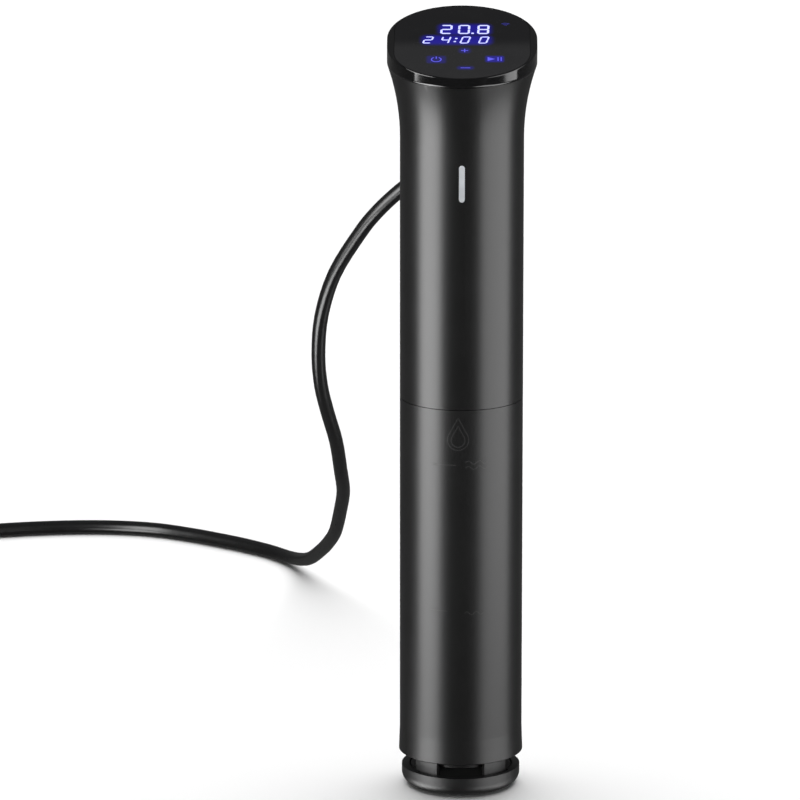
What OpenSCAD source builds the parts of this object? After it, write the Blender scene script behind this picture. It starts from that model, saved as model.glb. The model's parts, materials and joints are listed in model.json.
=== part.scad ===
// Immersion circulator: a slim stick that stands in a pot, heats the water and stirs it.
// Millimetres. Origin: centre of the underside of the base. +Z up, the front faces -Y.
// The stick has a housing with motor and electronics above a seam, and below it a skirt
// that pulls off downwards round the heater. A cap under the skirt twists off.

/* [Tube] */
// Outside diameter of the housing and the skirt
tube_d = 60; // [58:0.5:76]
// Wall of the upper housing
shell_t = 2; // [1.2:0.1:2.5]
// Wall of the skirt
skirt_t = 1; // [0.8:0.1:1.3]
// Length of the skirt
skirt_len = 179.1; // [149:0.5:220]
// How far the lip round the bottom of the skirt stands out
lip_over = 0.4; // [0.15:0.05:0.5]
// Gap of the seam between the skirt and the housing
seam_gap = 0.3; // [0.2:0.05:0.5]
// Straight length of the housing above the seam
straight_len = 128.6; // [127:0.5:160]

/* [Head] */
// Radius of the arc that flares the housing out to the head
flare_r = 108; // [90:1:130]
// Height of the middle of the panel above the start of the flare
head_rise = 46.7; // [45:0.1:52]
// Height of the joint of head and housing above the start of the flare
joint_rise = 35.5; // [34:0.1:37]
// Tilt of the panel towards the front
panel_tilt = 16; // [13:0.5:18]
// Tilt of the joint between head and housing
joint_tilt = 8; // [6:0.5:10]
// How far the round front and back of the head stand out beyond the tube
head_over = 8.9; // [8:0.1:10]
// How far the flat sides of the head stand out beyond the tube
side_over = 6.2; // [5.5:0.1:7]
// How much smaller the radius of the head's corners is than that of its front
corner_less = 4.4; // [4:0.1:8]
// Wall of the head
head_t = 2; // [1.6:0.1:2.4]
// Thickness of the plate that carries the glass, its recess included
head_plate_t = 5; // [4.5:0.1:6]

/* [Glass and display] */
// Rim of the head beside the glass
side_rim = 3.6; // [3:0.1:4.5]
// Rim of the head round the glass at front and back
glass_rim = 0.9; // [0.7:0.1:1.5]
// How much smaller the radius of the glass's corners is than that of its front
glass_corner_less = 15; // [12:0.5:18]
// Thickness of the glass
glass_t = 1.6; // [1.2:0.1:2]
// Thickness of the tape under the glass
tape_t = 0.3; // [0.2:0.05:0.4]
// Width of the display board
board_w = 39.5; // [38:0.5:40]
// Thickness of every circuit board
pcb_t = 1.6; // [1:0.1:2]
// Depth of the display board's face under the panel
board_drop = 7.4; // [7:0.1:8]
// Height of a digit in the upper row
digit_h = 9.4; // [8:0.1:10]
// Height of a digit in the lower row
small_digit_h = 7.3; // [6:0.1:8]

/* [Light bar] */
// Width of the light bar
bar_w = 2.7; // [2:0.1:3.5]
// Length of the light bar
bar_len = 18; // [14:0.5:22]
// Height of the middle of the light bar above the seam
bar_rise = 111.8; // [108:0.2:114]

/* [Base] */
// Height of the top of the base cap
base_h = 9.6; // [9:0.1:11]
// Free height of the water outlets
outlet_h = 7.4; // [7:0.1:10]
// How far the base cap's side stands in from the skirt
base_in = 1; // [0.8:0.1:1.5]
// Rounding of the lower edge of the base cap
base_round = 5.5; // [4:0.1:6]
// Thickness of the floor of the base cap
base_floor_t = 2.5; // [2:0.1:3]
// How far the rubber foot pad stands below the base cap
foot_drop = 0.3; // [0.2:0.1:0.6]
// How far the neck between the outlets stands in from the skirt
neck_in = 5; // [4.5:0.1:5.5]
// Wall of the neck
neck_t = 2.5; // [2:0.1:3]
// Angle that each of the four posts of the neck takes
post_angle = 34; // [24:1:40]
// Angle that the base cap turns to come free
cap_turn = 40; // [35:1:45]

/* [Drive] */
// Diameter of the impeller
impeller_d = 40; // [34:0.5:41]
// Number of blades
blade_count = 6; // [4:1:8]
// Diameter of the drive shaft
shaft_d = 5; // [4:0.5:6]
// Diameter of the motor
motor_d = 36; // [32:0.5:37]
// Length of the motor can
motor_len = 45; // [40:0.5:47]
// Radial clearance of every running shaft
run_fit = 0.05; // [0.02:0.01:0.1]
// Clearance between pieces that are fitted together
seat_gap = 0.1; // [0.05:0.05:0.2]
// Clearance between the skirt's fittings and the base cap
cap_gap = 0.3; // [0.3:0.05:0.5]

/* [Heater and probes] */
// Diameter of the heater rod
heater_d = 6.4; // [6:0.1:7]
// Distance of the heater legs from the middle planes
heater_off = 12; // [11.5:0.1:12.5]
// Height of the lowest point of the heater
heater_low = 36; // [34:1:50]
// Diameter of the temperature probe
probe_d = 5; // [4:0.5:5]
// Height of the tip of the temperature probe
probe_low = 70; // [60:1:90]
// Height of the tips of the water level rods
level_low = 96; // [90:1:105]

/* [Cord] */
// Diameter of the mains lead
cord_d = 7.2; // [6.5:0.1:8]
// Height of the cord gland above the seam
cord_rise = 103.6; // [103.4:0.1:103.8]
// Length of the tapered boot outside the housing
boot_len = 32; // [30:1:34]
// Radius of the boot at the housing
boot_r = 6.4; // [6:0.1:7]
// Radius of the middle of the coil's turns
coil_r = 38.1; // [38:0.1:38.2]

/* [Hidden] */
fine = 180;
mid = 64;
eps = 0.01;

r_out = tube_d / 2;
r_in = r_out - shell_t;
skirt_ri = r_out - skirt_t;
skirt_z = base_h + outlet_h;
seam_z = skirt_z + skirt_len + seam_gap;
flare_z = seam_z + straight_len;
head_z = flare_z + head_rise;
joint_z = flare_z + joint_rise;
head_r = r_out + head_over;
head_half = r_out + side_over;
head_w = 2 * head_half;
glass_r = head_r - glass_rim;
glass_half = head_half - side_rim;
bar_z = seam_z + bar_rise;
cord_z = seam_z + cord_rise;

// Bulkhead: a spigot in the skirt and a plug in the housing
spigot_len = 12;
bulk_top_h = 9;
bulk_top = seam_z + bulk_top_h;
// Seals: radius of the section, height above the seam; the groove is wider by groove_gap
skirt_seal_r = 1.45;
skirt_seal_z = seam_z - 6.5;
house_seal_r = 1.2;
house_seal_z = seam_z + 3.1;
groove_gap = 0.05;
// Chassis
chassis_foot_t = 3;
chassis_t = 3;
rail_x = r_in - 4.5;
rail_half = 6;
mid_plate_z = bulk_top + 71;
top_plate_z = flare_z + 22.5;
plate_r = r_in - 1;
boss_x = r_in - 4.5;
boss_y = 9.2;
boss_r = 3.2;
head_screw_r = 1.5;
screw_r = 1.4;
// Motor
motor_z = bulk_top + 21.5;
mount_t = 3;
mount_r = rail_x - 1;
pillar_off = 19;
pillar_r = 2.75;
motor_shaft_r = 1.6;
coupler_z = bulk_top + 5;
coupler_len = 12;
// Shaft
shaft_r = shaft_d / 2;
tube_r = shaft_r + 2.5;
tube_bore = shaft_r + 1.7;
tube_low = 38;
bush_len = 12;
shaft_low = 9.5;
blade_z = skirt_z - 4.5;
blade_h = 10;
// Board in the housing
board_y = 3;
board_low = mid_plate_z + chassis_t;
board_len = 62;
// Screw holes of the display board
board_hole = [16.5, 24.5];
// Wires
wire_r = 1.2;
wire_x = 14.6;
wire_y = -15.2;
probe_y = -17;
level_x = 7;
level_y = 18;
level_r = 1.5;

// Cord route, chosen by hand: out of the boot, down to the floor, away to the left. It is
// written for a boot route_z up in a tube of radius route_r; points above the floor move
// with the boot, the more the higher they are.
cord_r = cord_d / 2;
floor_z = cord_r + 0.1;
route_r = 30;
route_z = 300;
route_shape = [
    [0, 58, 300], [-0.5, 66, 300], [-4, 76, 298.5], [-11, 86, 293], [-20, 94, 286],
    [-31, 101, 276], [-42, 108, 264], [-51, 116, 251], [-64, 129, 227],
    [-71, 143, 202], [-73, 158, 178], [-72, 172, 158], [-69, 187, 140],
    [-65, 205, 120], [-63, 226, 99], [-62, 247, 82], [-64, 270, 65],
    [-67, 296, 47], [-71, 317, 35], [-76, 339, 24], [-83, 366, 12],
    [-92, 392, 5], [-104, 410, floor_z], [-119, 424, floor_z],
    [-135, 436, floor_z], [-150, 446, floor_z], [-169, 456, floor_z],
    [-190, 461, floor_z], [-213, 462, floor_z], [-237, 459, floor_z],
    [-260, 454, floor_z], [-282, 449, floor_z], [-300, 445.5, floor_z]
];
boot_shift = [0, r_out - route_r, cord_z - route_z];
cord_route = [for (p = route_shape) p + (p[2] - floor_z) / (route_z - floor_z) * boot_shift];
coil_x = -312;
coil_y = 402;
coil_w = 2 * cord_d;
coil_h = 13.6;
// The tail leaves the coil at its left side and rises to the plug
plug_z = 18.6;
tail_x = coil_x - coil_r;
tail_route = [
    [tail_x, coil_y - 20, 13.6], [tail_x, coil_y - 28, 15.7], [tail_x, coil_y - 36, 17.6],
    [tail_x, coil_y - 44, plug_z], [tail_x, coil_y - 50, plug_z]
];
tail_end = [tail_x, coil_y - 50, plug_z];

// ---- shared shapes ----

// Places children in the frame of the tilted panel: z = 0 is the panel's face
module on_panel() {
    translate([0, 0, head_z]) rotate([panel_tilt, 0, 0]) children();
}

// Points of an arc about c, from the angle a0 to a1
function arc(c, r, a0, a1, n) =
    [for (i = [0:n]) let (a = a0 + (a1 - a0) * i / n) c + r * [cos(a), sin(a)]];

// Outline with round front and back of radius r, flat sides at half the width, and
// corners whose radius is smaller by less. inset moves it inwards all round.
function outline(r, half, less, inset) =
    let (cx = half - r + less, cy = sqrt(less * less - cx * cx), a = atan2(cy, cx),
        rc = r - less - inset)
    concat(arc([cx, cy], rc, 0, a, 12), arc([0, 0], r - inset, a, 180 - a, 40),
        arc([-cx, cy], rc, 180 - a, 180, 12), arc([-cx, -cy], rc, 180, 180 + a, 12),
        arc([0, 0], r - inset, 180 + a, 360 - a, 40), arc([cx, -cy], rc, 360 - a, 360, 12));

// A plate of the head's outline, and one of the glass's outline, from z0 upwards
module head_plate(inset, z0, h) {
    translate([0, 0, z0]) linear_extrude(h)
        polygon(outline(head_r, head_half, corner_less, inset));
}
module glass_plate(inset, z0, h) {
    translate([0, 0, z0]) linear_extrude(h)
        polygon(outline(glass_r, glass_half, glass_corner_less, inset));
}

// Everything under the tilted joint of head and housing
module below_joint() {
    translate([0, 0, joint_z]) rotate([joint_tilt, 0, 0])
        translate([-100, -100, -200]) cube([200, 200, 200]);
}

// A tube that flares outwards along an arc of radius bend above flare_z
flare_room = 17;
flare_reach = 60;
module flared(r, bend, z0, w) {
    intersection() {
        union() {
            translate([0, 0, z0]) cylinder(r = r, h = flare_z - z0, $fn = fine);
            difference() {
                translate([0, 0, flare_z]) cylinder(r = r + flare_room, h = flare_reach, $fn = fine);
                translate([0, 0, flare_z]) rotate_extrude($fn = fine)
                    translate([r + bend, 0]) circle(r = bend, $fn = fine);
            }
        }
        translate([-w / 2, -100, z0 - 1]) cube([w, 200, 200]);
    }
}

// A ring with a round bore
module ring(ro, ri, z0, h, sides = fine) {
    difference() {
        translate([0, 0, z0]) cylinder(r = ro, h = h, $fn = sides);
        translate([0, 0, z0 - 1]) cylinder(r = ri, h = h + 2, $fn = sides);
    }
}

// A ring of round section, such as an O-ring
module o_ring(r, section, z) {
    translate([0, 0, z]) rotate_extrude($fn = fine)
        translate([r, 0]) circle(r = section, $fn = 32);
}

// A wedge of a circle, as wide as the angle a, turned to the direction at
module wedge(at, a, r, z0, h) {
    translate([0, 0, z0]) rotate([0, 0, at]) linear_extrude(h)
        polygon([[0, 0], [r, -r * tan(a / 2)], [r, r * tan(a / 2)]]);
}

// A slot with round ends along Z, cut through along Y
module slot_y(w, len, depth) {
    rotate([-90, 0, 0]) {
        translate([-w / 2, -(len - w) / 2, 0]) cube([w, len - w, depth]);
        for (s = [-1, 1]) translate([0, s * (len - w) / 2, 0])
            cylinder(d = w, h = depth, $fn = mid);
    }
}

// A pan-head screw with its head's underside at z = 0 and its shank going down
module screw_down(head_r, head_h, shank_r, len) {
    difference() {
        cylinder(r = head_r, h = head_h, $fn = mid);
        translate([-head_r, -0.3, head_h - 0.6]) cube([2 * head_r, 0.6, 1]);
    }
    translate([0, 0, -len]) cylinder(r = shank_r, h = len + eps, $fn = mid);
}

// ---- head ----

// Holes through the housing's wall: how far outside it they start, and their length
cut_clear = 5;
cut_len = 12;

module upper_housing() color("#1d1d1f") difference() {
    intersection() {
        flared(r_out, flare_r, seam_z, head_w);
        below_joint();
    }
    flared(r_in, flare_r + shell_t, seam_z - 1, head_w - 2 * shell_t);
    translate([0, -r_out - cut_clear, bar_z])
        slot_y(bar_w + 2 * seat_gap, bar_len + 2 * seat_gap, cut_len);
    translate([0, r_in - cut_clear, cord_z]) rotate([-90, 0, 0])
        cylinder(r = boot_r - 1 + seat_gap, h = cut_len, $fn = mid);
}

// Places of the four touch keys on the panel: plus, minus, power, play
touch_keys = [[1.2, -9], [1.6, -27], [-12.4, -18.4], [15.6, -17.8]];
spring_r = 3.2;
module_w = 34.8;
module_h = 24;
module_at = [-2.6, 8.5];
// Depth of the lit digits' underside, their thickness, bosses and screws of the board
digit_z = 2.3;
digit_t = 0.3;
board_boss_r = 2.4;
board_screw_r = 0.95;
// Depth to which the head is drawn before the joint cuts it off, and room round a spring
head_deep = 60;
spring_room = 0.6;

module head_bezel() color("#0c0c0d") difference() {
    union() {
        difference() {
            on_panel() head_plate(0, -head_deep, head_deep);
            on_panel() head_plate(head_t, -head_deep - 1, head_deep + 1 - head_plate_t);
            below_joint();
        }
        for (s = [-1, 1]) intersection() {
            translate([s * boss_x, boss_y, top_plate_z + chassis_t])
                cylinder(r = boss_r, h = head_deep, $fn = mid);
            on_panel() translate([-head_deep, -head_deep, -head_plate_t - head_deep])
                cube([2 * head_deep, 2 * head_deep, head_deep + 0.5]);
        }
        for (sx = [-1, 1], sy = [-1, 1]) on_panel()
            translate([sx * board_hole[0], sy * board_hole[1], -board_drop])
                cylinder(r = board_boss_r, h = board_drop - head_plate_t + 0.5, $fn = mid);
    }
    on_panel() glass_plate(-seat_gap, -glass_t - tape_t, 10);
    on_panel() translate([module_at[0] - module_w / 2 - seat_gap,
        module_at[1] - module_h / 2 - seat_gap, -head_plate_t - 1])
        cube([module_w + 2 * seat_gap, module_h + 2 * seat_gap, head_plate_t]);
    for (k = touch_keys) on_panel() translate([k[0], k[1], -head_plate_t - 1])
        cylinder(r = spring_r + spring_room, h = head_plate_t + 1, $fn = mid);
    for (s = [-1, 1]) translate([s * boss_x, boss_y, top_plate_z + chassis_t - 1])
        cylinder(r = head_screw_r - 0.1, h = 8, $fn = mid);
    for (sx = [-1, 1], sy = [-1, 1]) on_panel()
        translate([sx * board_hole[0], sy * board_hole[1], -board_drop - 1])
            cylinder(r = board_screw_r + 0.05, h = 4, $fn = mid);
}

module display_glass() color("#050507") on_panel() glass_plate(0, -glass_t, glass_t);

module glass_tape() color("#222222") on_panel() difference() {
    glass_plate(0.5, -glass_t - tape_t, tape_t);
    glass_plate(3, -glass_t - tape_t - 1, tape_t + 2);
}

// Gap between the head's wall and the board in it
board_room = 3.4;

module display_board() color("#14502c") on_panel() difference() {
    intersection() {
        head_plate(head_t + board_room, -board_drop - pcb_t, pcb_t);
        translate([-board_w / 2, -100, -50]) cube([board_w, 200, 100]);
    }
    for (sx = [-1, 1], sy = [-1, 1])
        translate([sx * board_hole[0], sy * board_hole[1], -board_drop - 3])
            cylinder(r = board_screw_r + 0.3, h = 5, $fn = mid);
}

module display_module() color("#18181a") on_panel()
    translate([module_at[0] - module_w / 2, module_at[1] - module_h / 2, -board_drop])
        cube([module_w, module_h, board_drop - digit_z]);

// One digit of seven bars; on lists the bars that are lit, from a to g
module digit(h, on) {
    w = 0.6 * h;
    t = 0.13 * h;
    bars = [[0, h / 2, w, t], [w / 2, h / 4, t, h / 2], [w / 2, -h / 4, t, h / 2],
        [0, -h / 2, w, t], [-w / 2, -h / 4, t, h / 2], [-w / 2, h / 4, t, h / 2],
        [0, 0, w, t]];
    for (i = on) translate([bars[i][0], bars[i][1], 0])
        translate([-(bars[i][2] - t * 1.2) / 2 - (bars[i][2] > bars[i][3] ? 0 : t * 0.6),
            -(bars[i][3] - t * 1.2) / 2 - (bars[i][2] > bars[i][3] ? t * 0.6 : 0), 0])
            cube([max(bars[i][2] - t * 1.2, t), max(bars[i][3] - t * 1.2, t), digit_t]);
}
row_up = 13.1;
row_down = 2;
seg_0 = [0, 1, 2, 3, 4, 5];
seg_2 = [0, 1, 6, 4, 3];
seg_4 = [5, 6, 1, 2];
seg_8 = [0, 1, 2, 3, 4, 5, 6];

module led_digits() color("#4a63ff") on_panel() translate([0, 0, -digit_z]) {
    translate([-7.4, row_up, 0]) digit(digit_h, seg_2);
    translate([0.7, row_up, 0]) digit(digit_h, seg_0);
    translate([4.9, row_up - digit_h / 2, 0]) cube([1.1, 1.1, digit_t]);
    translate([10, row_up, 0]) digit(digit_h, seg_8);
    translate([-16.2, row_down, 0]) digit(small_digit_h, seg_2);
    translate([-8.6, row_down, 0]) digit(small_digit_h, seg_4);
    for (s = [-1, 1]) translate([-3.6, row_down + s * 1.7, 0]) cube([1, 1, digit_t]);
    translate([1.4, row_down, 0]) digit(small_digit_h, seg_0);
    translate([10.3, row_down, 0]) digit(small_digit_h, seg_0);
}

module touch_springs() color("#c9b36a") on_panel() for (k = touch_keys)
    translate([k[0], k[1], 0])
        ring(spring_r, spring_r - 0.8, -board_drop, board_drop - glass_t - 0.1, mid);

module wifi_module() color("#9aa0a6") on_panel()
    translate([-8, 3, -board_drop - pcb_t - 3]) {
        translate([0, 0, 2.2]) cube([16, 20, 0.8]);
        translate([1, 1, 0]) cube([12, 14, 2.3]);
    }

module buzzer() color("#101010") on_panel() translate([-9, -8, -board_drop - pcb_t - 5]) {
    ring(6, 1, 0, 4, mid);
    translate([0, 0, 4 - eps]) cylinder(r = 6, h = 1 + eps, $fn = mid);
}

module board_screws() color("#8f9296") on_panel() for (sx = [-1, 1], sy = [-1, 1])
    translate([sx * board_hole[0], sy * board_hole[1], -board_drop - pcb_t]) mirror([0, 0, 1])
        screw_down(2, 1.4, board_screw_r, 4);

// ---- light bar ----

// Flange behind the bar, the board behind the flange, and three lamps on the board
bar_proud = 0.05;
flange_w = 10;
flange_y = -r_in + 0.8;
flange_t = 1.6;
lamp = [3.5, 0.9, 2.8];
lamp_step = 6;

module light_bar() color("#d8dadd") {
    translate([0, -r_out - bar_proud, bar_z]) slot_y(bar_w, bar_len, shell_t + 1.2);
    translate([-flange_w / 2, flange_y, bar_z - bar_len / 2 - 2])
        cube([flange_w, flange_t, bar_len + 4]);
}

module light_board() color("#14502c") translate([0, flange_y + flange_t, bar_z]) {
    translate([-flange_w / 2 - 0.5, 0, -bar_len / 2 - 4]) cube([flange_w + 1, pcb_t, bar_len + 8]);
    for (i = [-1:1]) translate([-lamp[0] / 2, pcb_t, i * lamp_step - lamp[2] / 2]) cube(lamp);
}

// ---- chassis and electronics ----

chassis_angles = [45, 135, 270];
chassis_screw_at = r_in - 3.1;

module inner_chassis() color("#3a3d42") difference() {
    union() {
        ring(r_in - 0.8, r_in - 5.5, bulk_top, chassis_foot_t);
        for (s = [-1, 1]) translate([s > 0 ? rail_x : -rail_x - 3, -rail_half, bulk_top])
            cube([3, 2 * rail_half, top_plate_z + chassis_t - bulk_top]);
        translate([0, 0, mid_plate_z]) intersection() {
            cylinder(r = plate_r, h = chassis_t, $fn = fine);
            translate([-50, -19, 0]) cube([100, 38, chassis_t]);
        }
        translate([-boss_x - boss_r, -boss_y - boss_r, top_plate_z])
            cube([2 * (boss_x + boss_r), 2 * (boss_y + boss_r), chassis_t]);
        // post and shelf for the cord clamp
        translate([-4, 13, mid_plate_z]) cube([8, 4, cord_z - 10 - mid_plate_z]);
        translate([-9, 12.8, cord_z - 11]) cube([18, 10.7, 3]);
    }
    translate([0, 0, mid_plate_z - 1]) cylinder(r = 9, h = chassis_t + 2, $fn = mid);
    for (a = chassis_angles) rotate([0, 0, a]) translate([chassis_screw_at, 0, bulk_top - 1])
        cylinder(r = screw_r + seat_gap, h = 5, $fn = mid);
    for (s = [-1, 1]) translate([s * wire_x, wire_y, mid_plate_z - 1])
        cylinder(r = wire_r + 0.8, h = chassis_t + 2, $fn = mid);
    for (s = [-1, 1]) translate([s * boss_x, boss_y, top_plate_z - 1])
        cylinder(r = head_screw_r + seat_gap, h = chassis_t + 2, $fn = mid);
    translate([-12, -2, top_plate_z - 1]) cube([24, 8, chassis_t + 2]);
}

module chassis_screws() color("#8f9296") for (a = chassis_angles) rotate([0, 0, a])
    translate([chassis_screw_at, 0, bulk_top + chassis_foot_t]) screw_down(2.2, 1.6, screw_r, 7);

module head_screws() color("#8f9296") for (s = [-1, 1])
    translate([s * boss_x, boss_y, top_plate_z]) mirror([0, 0, 1])
        screw_down(2.6, 1.8, head_screw_r - 0.15, 8);

// Electronics: width, depth and height of each piece, and its height up the board
board_half = rail_x - 0.3;
core = [18, 16, 5];
core_gap = 8;
cap_r = 6;
cap_len = 18;
cap_step = 12.5;
low_up = 3;
relay_size = [20, 13, 15];
relay_up = 30;
sink = [28, 2, 20];
sink_up = 40;
fin_t = 1.4;
fin_deep = 9;
fin_step = 5.2;
triac_size = [10, 4.6, 9];
triac_up = 46;
block = [24, 8, 9];
block_up = 1;
fuse_r = 2.6;
fuse_len = 20;
fuse_foot = [5, 3.1, 6];
fuse_up = 35;

module power_board() color("#14502c")
    translate([-board_half, board_y, board_low]) cube([2 * board_half, pcb_t, board_len]);

module transformer() color("#c7a24a") translate([-20, board_y - core[1], board_low + low_up]) {
    for (z = [0, core[2] + core_gap]) translate([0, 0, z]) cube(core);
    translate([2, 1.5, core[2] - eps]) cube([core[0] - 4, core[1] - 3, core_gap + 2 * eps]);
}

module capacitors() color("#23324d") for (i = [0:1])
    translate([rail_x - cap_r - (1 - i) * cap_step, board_y - cap_r - 0.1, board_low + low_up]) {
        cylinder(r = cap_r, h = cap_len, $fn = mid);
        translate([-1, cap_r - 1, 8]) cube([2, 1.1, 3]);
    }

module relay() color("#2b59a8") translate([-19, board_y - relay_size[1], board_low + relay_up])
    cube(relay_size);

module heat_sink() color("#b4b7ba")
    translate([-sink[0] / 2, board_y + pcb_t, board_low + sink_up]) {
        cube(sink);
        for (i = [0:5]) translate([i * fin_step, sink[1] - 0.1, 0])
            cube([fin_t, fin_deep, sink[2]]);
    }

module triac() color("#151515") translate([5, board_y - triac_size[1], board_low + triac_up]) {
    cube(triac_size);
    translate([0, triac_size[1] - 1.4, triac_size[2] - eps]) cube([triac_size[0], 1.4, 6]);
}

module terminal_block() color("#2f7d4f")
    translate([-block[0] / 2, board_y + pcb_t, board_low + block_up]) difference() {
        cube(block);
        for (i = [0:2]) translate([4 + 8 * i, 4.2, 2]) cylinder(r = 2, h = block[2], $fn = mid);
    }

module fuse() color("#d7dde0") translate([2.5, board_y - fuse_foot[1], board_low + fuse_up]) {
    rotate([0, 90, 0]) cylinder(r = fuse_r, h = fuse_len, $fn = mid);
    for (x = [0, fuse_len - fuse_foot[0]]) translate([x, 0, -fuse_foot[2] / 2]) cube(fuse_foot);
}

// The lead's inner end: sheath and three cores down to the terminal block
sheath_y = board_y + pcb_t + 3.4;
core_r = 0.9;
core_step = 2.2;
core_low = board_low + block_up + block[2];

module mains_wires() color("#2a2a2c") {
    translate([0, sheath_y, cord_z]) rotate([-90, 0, 0])
        cylinder(r = cord_r, h = r_out - sheath_y, $fn = mid);
    for (i = [-1:1]) translate([i * core_step, sheath_y + 0.8, core_low])
        cylinder(r = core_r, h = cord_z - core_low, $fn = mid);
}

module heater_wires() color("#b8382e") for (s = [-1, 1])
    translate([s * wire_x, wire_y, bulk_top + 13])
        cylinder(r = wire_r, h = board_low + 9 - bulk_top - 13, $fn = mid);

// Clamp for the lead, split at the lead's middle
clamp = [18, 9, 15];
clamp_y = 13;
clamp_low = cord_z - 8;
split_t = 0.8;

module cord_clamp() color("#e4e4e0") difference() {
    translate([-clamp[0] / 2, clamp_y, clamp_low]) cube(clamp);
    translate([0, clamp_y - 3, cord_z]) rotate([-90, 0, 0])
        cylinder(r = cord_r + seat_gap, h = 20, $fn = mid);
    for (x = [-10, 3]) translate([x, clamp_y - 1, cord_z - split_t / 2])
        cube([7, clamp[1] + 3, split_t]);
}

// Boot: collars each side of the housing wall, then a taper with grooves
module cord_boot() color("#141416") translate([0, 0, cord_z]) rotate([-90, 0, 0])
    difference() {
        union() {
            translate([0, 0, r_in - 3.3]) cylinder(r = boot_r + 1, h = 2, $fn = mid);
            translate([0, 0, r_in - 2]) cylinder(r = boot_r - 1, h = shell_t + 2.6, $fn = mid);
            translate([0, 0, r_out + 0.1]) cylinder(r = boot_r + 0.6, h = 2, $fn = mid);
            translate([0, 0, r_out + 2]) cylinder(r1 = boot_r, r2 = cord_r + 1.1,
                h = boot_len - 2, $fn = mid);
        }
        translate([0, 0, r_out - 0.1]) cylinder(r = cord_r + 0.02, h = boot_len + 2, $fn = mid);
        translate([0, 0, r_in - 4]) cylinder(r = cord_r + seat_gap, h = shell_t + 5, $fn = mid);
        for (i = [0:4]) translate([0, 0, r_out + 6 + 5 * i]) difference() {
            cylinder(r = boot_r + 2, h = 1.6, $fn = mid);
            translate([0, 0, -1]) cylinder(r = cord_r + 1, h = 4, $fn = mid);
        }
    }

// ---- bulkhead and what it carries ----

heater_ends = [[-heater_off, -heater_off], [heater_off, -heater_off]];
nut_r = 5;

// Groove for an O-ring of the given section, whose outer edge is at radius r
module seal_groove(r, section, z) {
    ring(r_out, r - 2 * section - groove_gap, z - section - groove_gap,
        2 * (section + groove_gap));
}

module bulkhead() color("#2c2e31") difference() {
    union() {
        translate([0, 0, seam_z - spigot_len]) cylinder(r = skirt_ri - 0.5, h = spigot_len, $fn = fine);
        translate([0, 0, seam_z - eps]) cylinder(r = r_in - seat_gap, h = bulk_top_h + eps, $fn = fine);
    }
    seal_groove(skirt_ri - seat_gap, skirt_seal_r, skirt_seal_z);
    seal_groove(r_in - seat_gap, house_seal_r, house_seal_z);
    translate([0, 0, seam_z - 20]) cylinder(r = tube_r + run_fit, h = 40, $fn = mid);
    for (p = heater_ends) translate([p[0], p[1], seam_z - 20])
        cylinder(r = heater_d / 2 + seat_gap, h = 40, $fn = mid);
    translate([0, probe_y, seam_z - 20]) cylinder(r = probe_d / 2 + seat_gap, h = 40, $fn = mid);
    for (s = [-1, 1]) translate([s * level_x, level_y, seam_z - 20])
        cylinder(r = level_r + seat_gap, h = 40, $fn = mid);
    for (a = chassis_angles) rotate([0, 0, a]) translate([chassis_screw_at, 0, bulk_top - 4.5])
        cylinder(r = screw_r + eps, h = 6, $fn = mid);
}

module housing_seal() color("#7a1f1a")
    o_ring(r_in - seat_gap - house_seal_r, house_seal_r, house_seal_z);

module skirt_seal() color("#7a1f1a")
    o_ring(skirt_ri - seat_gap - skirt_seal_r, skirt_seal_r, skirt_seal_z);

leg_r = heater_d / 2;
bend_low = heater_low + leg_r + heater_off;
bend_top = seam_z - spigot_len - leg_r - 1 - heater_off;

module half_bend(r) {
    rotate([90, 0, 0]) rotate_extrude(angle = 180, $fn = fine)
        translate([r, 0]) circle(r = leg_r, $fn = 48);
}

// One rod bent into an M round the shaft: two long hairpins joined at the top
module heater_element() color("#8d8f92") {
    for (sx = [-1, 1]) {
        translate([sx * heater_off, -heater_off, bend_low])
            cylinder(r = leg_r, h = bulk_top + 6 - bend_low, $fn = 48);
        translate([sx * heater_off, heater_off, bend_low])
            cylinder(r = leg_r, h = bend_top - bend_low, $fn = 48);
        translate([sx * heater_off, 0, bend_low]) rotate([0, 180, 90]) half_bend(heater_off);
    }
    translate([0, heater_off, bend_top]) half_bend(heater_off);
}

module heater_nuts() color("#b9bbbd") for (p = heater_ends) translate([p[0], p[1], 0])
    difference() {
        translate([0, 0, bulk_top]) cylinder(r = nut_r, h = 4, $fn = 6);
        translate([0, 0, bulk_top - 1]) cylinder(r = leg_r + 0.05, h = 6, $fn = mid);
    }

// Ceramic sleeve on each end of the rod, with a tab that reaches out to its wire
module heater_terminals() color("#e8e2d2") for (s = [-1, 1])
    translate([s * heater_off, -heater_off, bulk_top + 6]) {
        cylinder(r = 3, h = 4, $fn = mid);
        translate([0, 0, 4 - eps]) cylinder(r = 1.2, h = 4, $fn = mid);
        rotate([0, 0, s > 0 ? -51 : 231]) translate([-1.5, -1.5, 6]) cube([7, 3, 1]);
    }

module temperature_probe() color("#c2c4c6") translate([0, probe_y, 0]) {
    translate([0, 0, probe_low + probe_d / 2])
        cylinder(r = probe_d / 2, h = bulk_top + 6 - probe_low - probe_d / 2, $fn = mid);
    translate([0, 0, probe_low + probe_d / 2]) sphere(d = probe_d, $fn = mid);
    ring(3.6, probe_d / 2 - eps, bulk_top, 1.5, mid);
}

module level_rods() color("#c2c4c6") for (s = [-1, 1])
    translate([s * level_x, level_y, 0]) {
        translate([0, 0, level_low]) cylinder(r = level_r, h = bulk_top + 6 - level_low, $fn = mid);
        ring(2.6, level_r - eps, bulk_top, 1.5, mid);
    }

module thermal_cutoff() color("#b9a98a") translate([11.3, 11.3, bulk_top]) {
    cylinder(r = 5, h = 4, $fn = mid);
    for (s = [-1, 1]) translate([s * 2.2 - 0.4, -1.5, 4 - eps]) cube([0.8, 3, 5]);
}

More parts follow.
